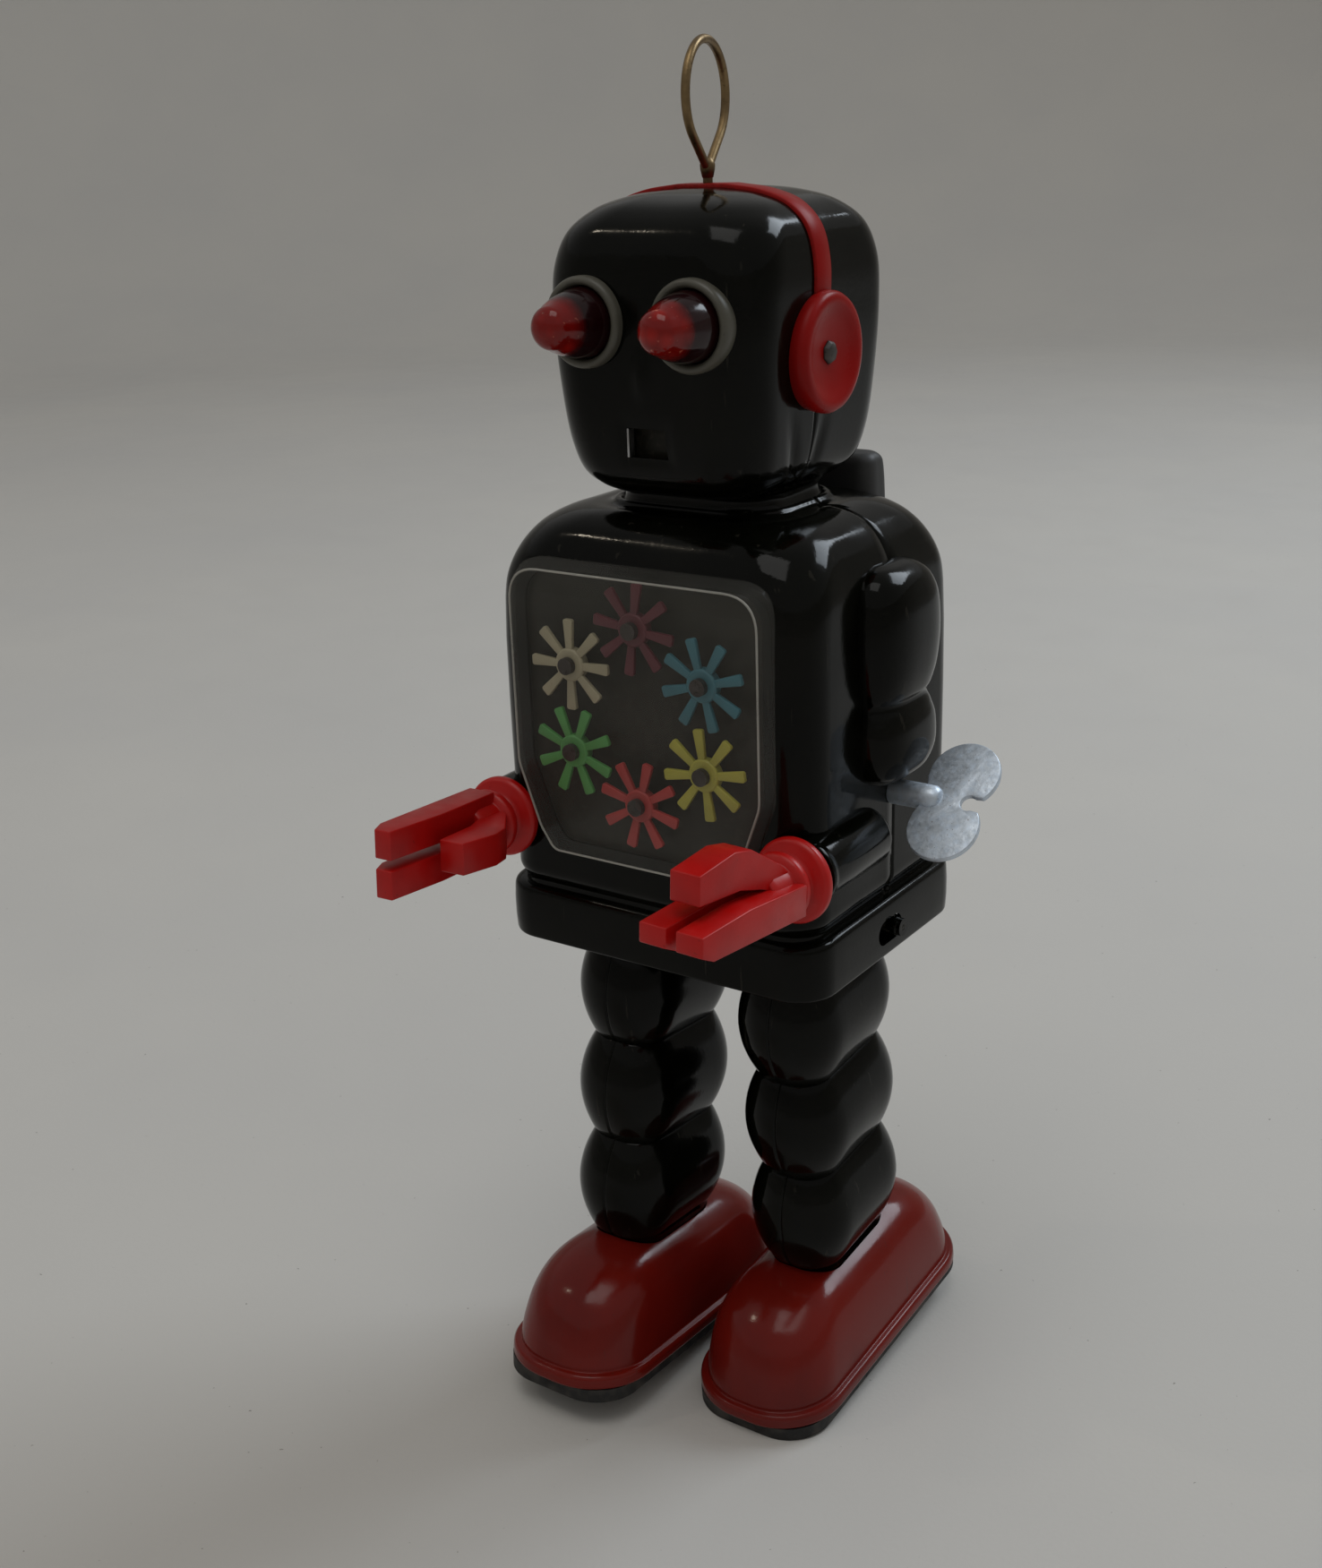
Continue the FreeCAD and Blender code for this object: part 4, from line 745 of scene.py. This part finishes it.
def window():
    """A thin clear blister with soft corners, and a pale bead along its front edge that paints the highlight where
    that edge catches light.
    """
    front, back = WINDOW_LOW.y + 1.4, -TORSO_D
    rows = [(back + 1.2, -0.1), (back - 0.2, -0.1), (back - 0.4, 0.1), (back - 0.9, 0.25),
            (front + 1.5, 0.6), (front + 0.7, 0.95), (front + 0.2, 1.5), (front, 2.3)]
    make("window", skin([window_ring(y, inset) for y, inset in rows], cap_low=False), material=CLEAR,
         replaces=["chest_window"], angle=50)
    # The bead along the front edge is a painted highlight: a pale line where the edge catches light.
    line = window_ring(front + 0.35, 1.3)
    line = [line[i].lerp(line[(i + 1) % len(line)], k / 3) for i in range(len(line)) for k in range(3)]
    rings = []
    for i, point in enumerate(line):
        along = line[(i + 1) % len(line)] - line[i - 1]
        out = Vector((0, -1, 0)).cross(along).normalized()
        rings.append([point + 0.22 * (math.cos(a) * out + math.sin(a) * Vector((0, 1, 0)))
                      for a in (math.radians(60 * k) for k in range(6))])
    rings.append([p.copy() for p in rings[0]])
    make("window_rim_highlight", skin(rings, False, False), material=RIM_HIGHLIGHT, angle=80)


KNOB_Y, KNOB_RADIUS = 1.5, 1.65
SLOT_END_Y, SLOT_RADIUS = -2.6, 2.3


def skirt():
    half_w, half_d, low, high = SKIRT_HIGH.x + 1.1, SKIRT_HIGH.y + 0.8, SKIRT_LOW.z, SKIRT_HIGH.z
    rows = [(low + 0.5, 1.0), (low, 0.7), (low + 0.1, 0.2), (low + 0.7, 0.0), (high - 1.5, 0.0),
            (high - 0.6, 0.3), (high - 0.1, 1.1), (high, 2.2)]
    sections = [(z, half_w - inset, half_d - inset, 7.4 - inset * 0.5) for z, inset in rows]
    outline = []
    slot_z = span("stop_lever")[0].z + KNOB_RADIUS
    for centre, start in ((KNOB_Y, -90), (SLOT_END_Y, 90)):
        outline += [(centre + SLOT_RADIUS * math.cos(a), slot_z + SLOT_RADIUS * math.sin(a))
                    for a in (math.radians(start + 15 * k) for k in range(13))]
    hole = skin([[Vector((x, y, z)) for y, z in outline] for x in (25, 40)])
    bm = box_form(sections, 3, cap_low=False, cap_high=False)
    make("skirt_band", bm, material=BLACK, wall=TIN, cutters=[cutter(hole)], replaces=["skirt"])
    # A black sheet and floor just inside the skirt, behind the slot, put painted shade into the slot so that it
    # reads dark.
    slot_shade_sheet = merged(block((26.3, 26.7), (-15, 15), (low + 0.1, high - 1.0)),
                   block((26.3, half_w - 0.4), (-15, 15), (low + 0.1, low + 0.5)))
    make("skirt_slot_shade_sheet", slot_shade_sheet, material=BLACK)


def backpack():
    """A flat tin box with rounded edges and a raised panel, behind the shoulders."""
    low, high = span("backpack")
    half_w, half_d = (high.x - low.x) / 2, (high.y - low.y) / 2
    centre_y = (high.y + low.y) / 2
    rows = [(low.z, 3.0), (low.z + 0.3, 1.4), (low.z + 1.2, 0.4), (low.z + 3.0, 0.0),
            (high.z - 3.0, 0.0), (high.z - 1.2, 0.4), (high.z - 0.3, 1.4), (high.z, 3.0)]
    rings = []
    for z, inset in smooth_sections(rows, 12):
        ring = rounded_ring(z, half_w - inset, half_d - inset, 3.0 - inset * 0.5, 8, 24)
        rings.append([p + Vector((0, centre_y, 0)) for p in ring])
    bm = skin(rings)
    for vert in bm.verts:
        x, y, z = vert.co
        if y > centre_y + half_d * 0.8:
            inside = min(half_w - 5 - abs(x), z - low.z - 6, high.z - 8 - z)
            vert.co.y -= 0.7 / (1 + math.exp(-3 * inside))
    make("pack_box", bm, material=GREY, replaces=["backpack"])


# ---------------------------------------------------------------- chest wheels
STAR_TURNS = {"top": 37.5, "upper_left": 15.0, "lower_left": 7.5, "bottom": 30.0, "lower_right": 22.5,
              "upper_right": 0.0}
WHEEL_REACH = 8.15


def chest_wheels():
    for name, colour in WHEEL_COLOURS.items():
        low, high = span("chest_wheel_" + name)
        centre = (Vector(JOINTS[f"star_{name}_turn"]["pos_m"]) - MIDDLE) / MM
        centre.y = 0
        shade = tuple(c * 0.55 for c in colour)
        material = plastic("wheel_" + name, colour, shade, (0.35, 0.5))
        turn = STAR_TURNS[name]
        hub = [(1.1, high.y), (2.8, high.y), (3.0, high.y - 0.4), (3.0, low.y + 0.3), (2.7, low.y),
               (1.2, low.y), (1.1, low.y + 0.3)]
        forms = [lathe(hub, segments=40)]
        for i in range(8):
            outline = [(2.2, -0.62), (WHEEL_REACH - 0.3, -1.0), (WHEEL_REACH, -0.7), (WHEEL_REACH, 0.7),
                       (WHEEL_REACH - 0.3, 1.0), (2.2, 0.62)]
            spoke = moved(prism(outline, 0.8, "Y"), y=low.y + 0.6)
            bmesh.ops.rotate(spoke, verts=spoke.verts,
                             matrix=Matrix.Rotation(-math.radians(turn + 45 * i), 3, "Y"))
            forms.append(spoke)
        wheel = moved(merged(*forms), *centre)
        make("wheel_" + name, wheel, material=material, body="star_" + name, bevel=0.12,
             replaces=["chest_wheel_" + name])


# ---------------------------------------------------------------- arms
def upper_arms():
    low, high = span("upper_arm_left")
    torso_x = TORSO_W
    reach = high.x - torso_x
    rows = [(0.93, 0.10, 0.35), (0.91, 0.45, 0.62), (0.85, 0.80, 0.86), (0.76, 0.97, 0.97),
            (0.63, 1.0, 1.0), (0.50, 0.93, 0.97), (0.41, 0.80, 0.89), (0.365, 0.68, 0.83),
            (0.32, 0.80, 0.87), (0.25, 0.93, 0.93), (0.16, 0.95, 0.93), (0.08, 0.82, 0.84),
            (0.03, 0.58, 0.66), (0.0, 0.25, 0.42)]
    half_y, centre_y = (high.y - low.y) / 2, (high.y + low.y) / 2
    rings = []
    for share, out, deep in smooth_sections(rows[::-1], 5):
        z = low.z + share * (high.z - low.z)
        a, b = out * reach + 0.6, deep * half_y
        ring = []
        for k in range(72):
            t = 2 * math.pi * k / 72
            c, s = math.cos(t), math.sin(t)
            ring.append(Vector((torso_x - 0.6 + a * math.copysign(abs(c) ** 0.72, c),
                                centre_y + b * math.copysign(abs(s) ** 0.80, s), z)))
        rings.append(ring)
    for side in SIDES:
        bm = skin([[p.copy() for p in ring] for ring in rings])
        keep = half_of(bm, 0, torso_x - 1.2, True)
        bm.free()
        make("arm_" + side, keep, BODY @ MIRROR[side], BLACK, wall=0.5,
             replaces=["upper_arm_" + side])


def forearms():
    low, high = span("forearm_left")
    radius = (high.z - low.z) / 2
    centre = Vector((high.x - radius, 0, (high.z + low.z) / 2))
    front, back = low.y, high.y
    profile = [(radius - 1.2, front + 3.2), (radius - 1.1, front + 0.3), (radius - 0.7, front),
               (radius - 0.1, front + 0.1), (radius, front + 0.5), (radius - 0.05, front + 1.1),
               (radius - 0.25, front + 1.5), (radius - 0.25, front + 2.2), (radius - 0.1, back - 2.4),
               (radius - 0.5, back - 1.2), (radius - 1.5, back - 0.3), (radius - 3.0, back),
               (0.3, back + 0.05)]
    for side in SIDES:
        bm = moved(lathe(profile, segments=80, cap_ends=False), *centre)
        make("forearm_tube_" + side, bm, BODY @ MIRROR[side], BLACK, replaces=["forearm_" + side],
             angle=50)


FLANGE, COLLAR, HUB = 7.45, 6.0, 4.6
FINGER = {"offset": 3.55, "width": 5.2, "height": 5.5, "length": 34.7}
THUMB = [(-5.5, 2.2), (-10, 5.6), (-19, 10.2), (-24, 10.9), (-34.3, 9.4), (-34.3, 4.4), (-22.2, 4.1),
         (-15.5, 2.6), (-11, 1.0)]
THUMB_SCALE = {"left": 0.91, "right": 0.74}
ROLL = {"left": 0.0, "right": -90.0}


def finger_form(width, height, length, start):
    """A finger along -Y with a blunt, slanted tip, standing on z = 0."""
    return prism([(start, 0), (start, height), (start - length * 0.55, height * 1.05),
                  (start - length, height * 0.86), (start - length, height * 0.25),
                  (start - length + 3.2, 0)], width)


def hands():
    for side in SIDES:
        body = lathe([(2.0, 3.2), (2.1, 0.4), (FLANGE - 0.6, 0.3), (FLANGE, -0.2), (FLANGE, -1.3),
                      (FLANGE - 0.5, -1.9), (5.2, -2.3), (4.5, -2.8), (4.4, -4.0), (COLLAR - 0.3, -4.3),
                      (COLLAR, -4.7), (COLLAR, -5.7), (COLLAR - 0.4, -6.2), (HUB, -6.6), (HUB, -11.0),
                      (HUB - 0.5, -12.2), (0, -12.4)], segments=80)
        fingers = []
        for sign in SIDES.values():
            finger = finger_form(FINGER["width"], FINGER["height"], FINGER["length"] - 6, -6)
            fingers.append(moved(finger, x=sign * FINGER["offset"], z=-FINGER["height"] / 2 - 0.8))
        thumb = [(y * THUMB_SCALE[side], z) for y, z in THUMB]
        whole = merged(body, *fingers, prism(thumb, 5.8))
        bmesh.ops.rotate(whole, verts=whole.verts,
                         matrix=Matrix.Rotation(math.radians(ROLL[side]), 3, "Y"))
        make("red_hand_" + side, whole, hand_place(side), HAND_RED, body=side + "_hand", bevel=0.3,
             replaces=["hand_" + side])


# ---------------------------------------------------------------- key
def key():
    """A flat plate of two round lobes with a rounded notch between them, on the end of its tube."""
    low, high = span("winding_key")
    arbor = (Vector(JOINTS["key_turn"]["pos_m"]) - MIDDLE) / MM
    lobe, offset, thickness, notch = 6.5, 5.4, 1.1, 1.5
    middle = high.x - lobe
    tilt = math.atan2(high.z - low.z, high.y - low.y)
    lobe_arc = [(middle + lobe * math.cos(a), offset + lobe * math.sin(a))
                for a in (math.radians(-38 + 228 * k / 40) for k in range(41))]
    waist = [(middle - lobe + 0.1, offset - 1.5), (middle - lobe + 0.7, offset - 3.5),
             (middle - lobe + 1.0, 0)]
    root = [(middle + 2.9 + notch * math.cos(a), notch * math.sin(a))
            for a in (math.radians(300 - 240 * k / 16) for k in range(17))]
    upper = lobe_arc + waist
    outline = upper + [(x, -y) for x, y in upper[-2::-1]] + root
    plate = prism(outline, thickness, "Z")
    start = low.x
    post = lathe([(2.0, start), (2.3, start + 0.3), (2.3, start + 6.5), (2.25, middle - 3.5),
                  (1.6, middle - 2.6), (0.5, middle - 2.3)], "X", 40)
    whole = merged(plate, post)
    place = BODY @ Matrix.Translation((0, arbor.y, arbor.z)) @ Matrix.Rotation(tilt, 4, "X")
    make("key_plate", whole, place, KEY_STEEL, body="key", bevel=0.25, replaces=["winding_key"])


def stop_knob():
    """The round head on the end of the stop lever."""
    low, high = span("stop_lever")
    radius = KNOB_RADIUS
    profile = [(0.8, SKIRT_HIGH.x - 0.8), (1.0, SKIRT_HIGH.x + 0.2), (radius, SKIRT_HIGH.x + 0.7),
               (radius + 0.1, high.x - 0.9), (radius - 0.3, high.x - 0.2), (0.6, high.x), (0, high.x)]
    knob = lathe(profile, "X", 40)
    knob = moved(knob, y=KNOB_Y, z=low.z + radius)
    make("stop_knob", knob, material=BLACK, body="stop")


# ---------------------------------------------------------------- legs
LEG_HALF_WIDTH, LEG_HALF_DEPTH, LEG_CORNER, BULGE = 7.3, 13.9, 6.2, 3.35
VALLEY_Z, PITCH, BULGES = 26.8, 20.9, 3
ANKLE = [(19.5, 6.2, 9.5, 4.6), (22.5, 6.7, 11.4, 5.2), (25.0, 7.2, 13.2, 5.9)]
LEG_TOP = [(93.0, 7.4, 13.6, 5.6), (98.0, 7.3, 11.4, 5.2), (102.6, 7.0, 7.6, 4.5)]


def leg_sections():
    """An ankle, three round bulges between sharp valleys, and a plain top."""
    sections = list(ANKLE)
    for bulge in range(BULGES):
        for k in range(22):
            share = (1 - math.cos(math.pi * k / 22)) / 2
            grow = BULGE * math.sin(math.pi * share) ** 0.8 if k else 0.0
            sections.append((VALLEY_Z + (bulge + share) * PITCH, LEG_HALF_WIDTH + grow,
                             LEG_HALF_DEPTH + grow, LEG_CORNER + grow))
    top = VALLEY_Z + BULGES * PITCH
    return sections + [(top, LEG_HALF_WIDTH, LEG_HALF_DEPTH, LEG_CORNER)] + LEG_TOP


def leg_form(grow=0.0, **caps):
    rings = [rounded_ring(z, w + grow, d + grow, r + grow, 10, 8) for z, w, d, r in leg_sections()]
    return moved(skin(rings, **caps), x=LEG_X)


def legs():
    for side in SIDES:
        form = leg_form()
        groove(form, 0, LEG_X, 0.4, 0.32)
        for part, above in (("outer", True), ("inner", False)):
            make(f"leg_{part}_{side}", half_of(form, 0, LEG_X, above), leg_place(side), BLACK,
                 body=side + "_leg", wall=TIN, replaces=[f"leg_{part}_shell_{side}"],
                 angle=50)
        form.free()


def feet():
    half_w, half_d, base = 15.0, 35.6, 5.0
    rows = [(0.5, 1.6, 1.6, 11.6), (0.1, 1.1, 1.1, 12.0), (0.1, 0.5, 0.5, 12.6),
            (0.6, 0.05, 0.05, 13.0), (1.4, 0.0, 0.0, 13.2), (2.2, 0.05, 0.05, 13.2), (2.8, 0.45, 0.45, 12.8),
            (2.95, 1.0, 1.0, 12.4), (3.1, 1.35, 1.4, 12.2), (4.0, 1.4, 1.45, 12.2),
            (8.0, 1.7, 2.4, 12.2), (12.5, 2.4, 4.3, 11.9), (15.8, 3.5, 7.0, 11.2),
            (18.2, 5.2, 10.6, 9.6), (19.9, 7.4, 14.6, 7.5), (21.0, 10.0, 18.4, 4.9),
            (21.6, 12.5, 21.5, 2.4)]
    sections = [(base + z, half_w - w, half_d - d, r) for z, w, d, r in rows]
    for side in SIDES:
        rings = [rounded_ring(*s, arc_steps=14, flat_steps=14) for s in smooth_sections(sections, 4)]
        bm = moved(skin(rings, cap_low=False), x=LEG_X)
        make("foot_dome_" + side, bm, leg_place(side), FOOT_RED, body=side + "_leg", wall=TIN,
             cutters=[cutter(leg_form(0.12))], replaces=["foot_upper_" + side])


# ---------------------------------------------------------------- pieces kept from the CAD
KEPT = {STEEL: ["motor_plate_left", "motor_plate_right", "motor_pillars", "winding_arbor",
                "ratchet_wheel", "click", "crank_shaft", "verge", "hip_axle",
                "leg_lever_left", "leg_lever_right"],
        BRASS: ["great_wheel", "second_wheel", "escape_wheel"], BLUED: ["mainspring"],
        # the hip bracket is painted dark so that the inside seen through the skirt's slot reads as shade
        DARK_METAL: ["chest_wheel_pins", "chest_drive_shaft"], BACKING: ["chest_plate", "hip_bracket"],
        BLACK: ["stop_lever"], SOLE: ["foot_sole_left", "foot_sole_right", "foot_roller_left",
                                      "foot_roller_right"]}


def dress_kept_nodes():
    for material, nodes in KEPT.items():
        for node in nodes:
            for place in frame["nodes"][node].material_slots:
                place.material = material


# ---------------------------------------------------------------- stage
def stage():
    """A pale floor that curves up into a plain, round backdrop."""
    radius, bend, top = 2.4, 0.7, 1.0
    profile = [(0.0, 0.0), (0.6, 0.0), (radius - bend, 0.0)]
    profile += [(radius - bend + bend * math.sin(a), bend - bend * math.cos(a))
                for a in (math.radians(6 * k) for k in range(1, 16))]
    profile.append((radius, top))
    bm = lathe(profile, "Z", 128, cap_ends=False)
    bmesh.ops.reverse_faces(bm, faces=bm.faces)
    mesh = bpy.data.meshes.new("paper_sweep")
    bm.to_mesh(mesh)
    bm.free()
    sweep = bpy.data.objects.new("paper_sweep", mesh)
    bpy.context.scene.collection.objects.link(sweep)
    mesh.polygons.foreach_set("use_smooth", [True] * len(mesh.polygons))
    mesh.materials.append(paper("pale_paper"))


def area_light(name, place, target, size, power, colour):
    light = bpy.data.lights.new(name, "AREA")
    light.shape, light.size, light.size_y = "RECTANGLE", *size
    light.energy, light.color = power, colour
    obj = bpy.data.objects.new(name, light)
    obj.location = place
    obj.rotation_euler = (Vector(target) - Vector(place)).to_track_quat("-Z", "Y").to_euler()
    bpy.context.scene.collection.objects.link(obj)


def lights():
    target = (0, 0, 0.13)
    area_light("window", (0.50, 1.05, 1.15), target, (0.75, 0.5), 8.5, (0.82, 0.91, 1.0))
    area_light("ceiling", (0.15, -0.5, 1.9), target, (1.0, 1.0), 5.8, (1.0, 0.99, 0.96))
    area_light("lamp", (-0.88, -0.50, 1.25), target, (0.05, 0.05), 0.45, (1.0, 0.88, 0.70))
    world = bpy.data.worlds.new("room")
    world.use_nodes = True
    background = world.node_tree.nodes["Background"]
    background.inputs["Color"].default_value = (1.0, 0.99, 0.965, 1)
    background.inputs["Strength"].default_value = 0.31
    bpy.context.scene.world = world


def camera():
    """Stands in front of the robot, to its left and above, and looks down at its chest."""
    data = bpy.data.cameras.new("camera")
    data.sensor_width, data.lens = 36.0, 43.50
    data.clip_start = 0.01
    obj = bpy.data.objects.new("camera", data)
    obj.location = MIDDLE + Vector((180.9, -280.0, 239.8)) * MM
    yaw, pitch, roll = math.radians(35.06), math.radians(19.62), math.radians(-2.01)
    back = Vector((math.sin(yaw) * math.cos(pitch), -math.cos(yaw) * math.cos(pitch), math.sin(pitch)))
    right = Vector((math.cos(yaw), math.sin(yaw), 0))
    up = back.cross(right)
    turned_right = math.cos(roll) * right + math.sin(roll) * up
    turned_up = back.cross(turned_right)
    obj.rotation_euler = Matrix((turned_right, turned_up, back)).transposed().to_euler()
    bpy.context.scene.collection.objects.link(obj)
    bpy.context.scene.camera = obj


head()
mouth_plate()
head_band()
ears()
eyes()
antenna_loop()
neck()
torso()
window()
skirt()
backpack()
chest_wheels()
upper_arms()
forearms()
hands()
key()
stop_knob()
legs()
feet()
dress_kept_nodes()
stage()
lights()
camera()

bpy.context.scene.view_settings.view_transform = "Standard"
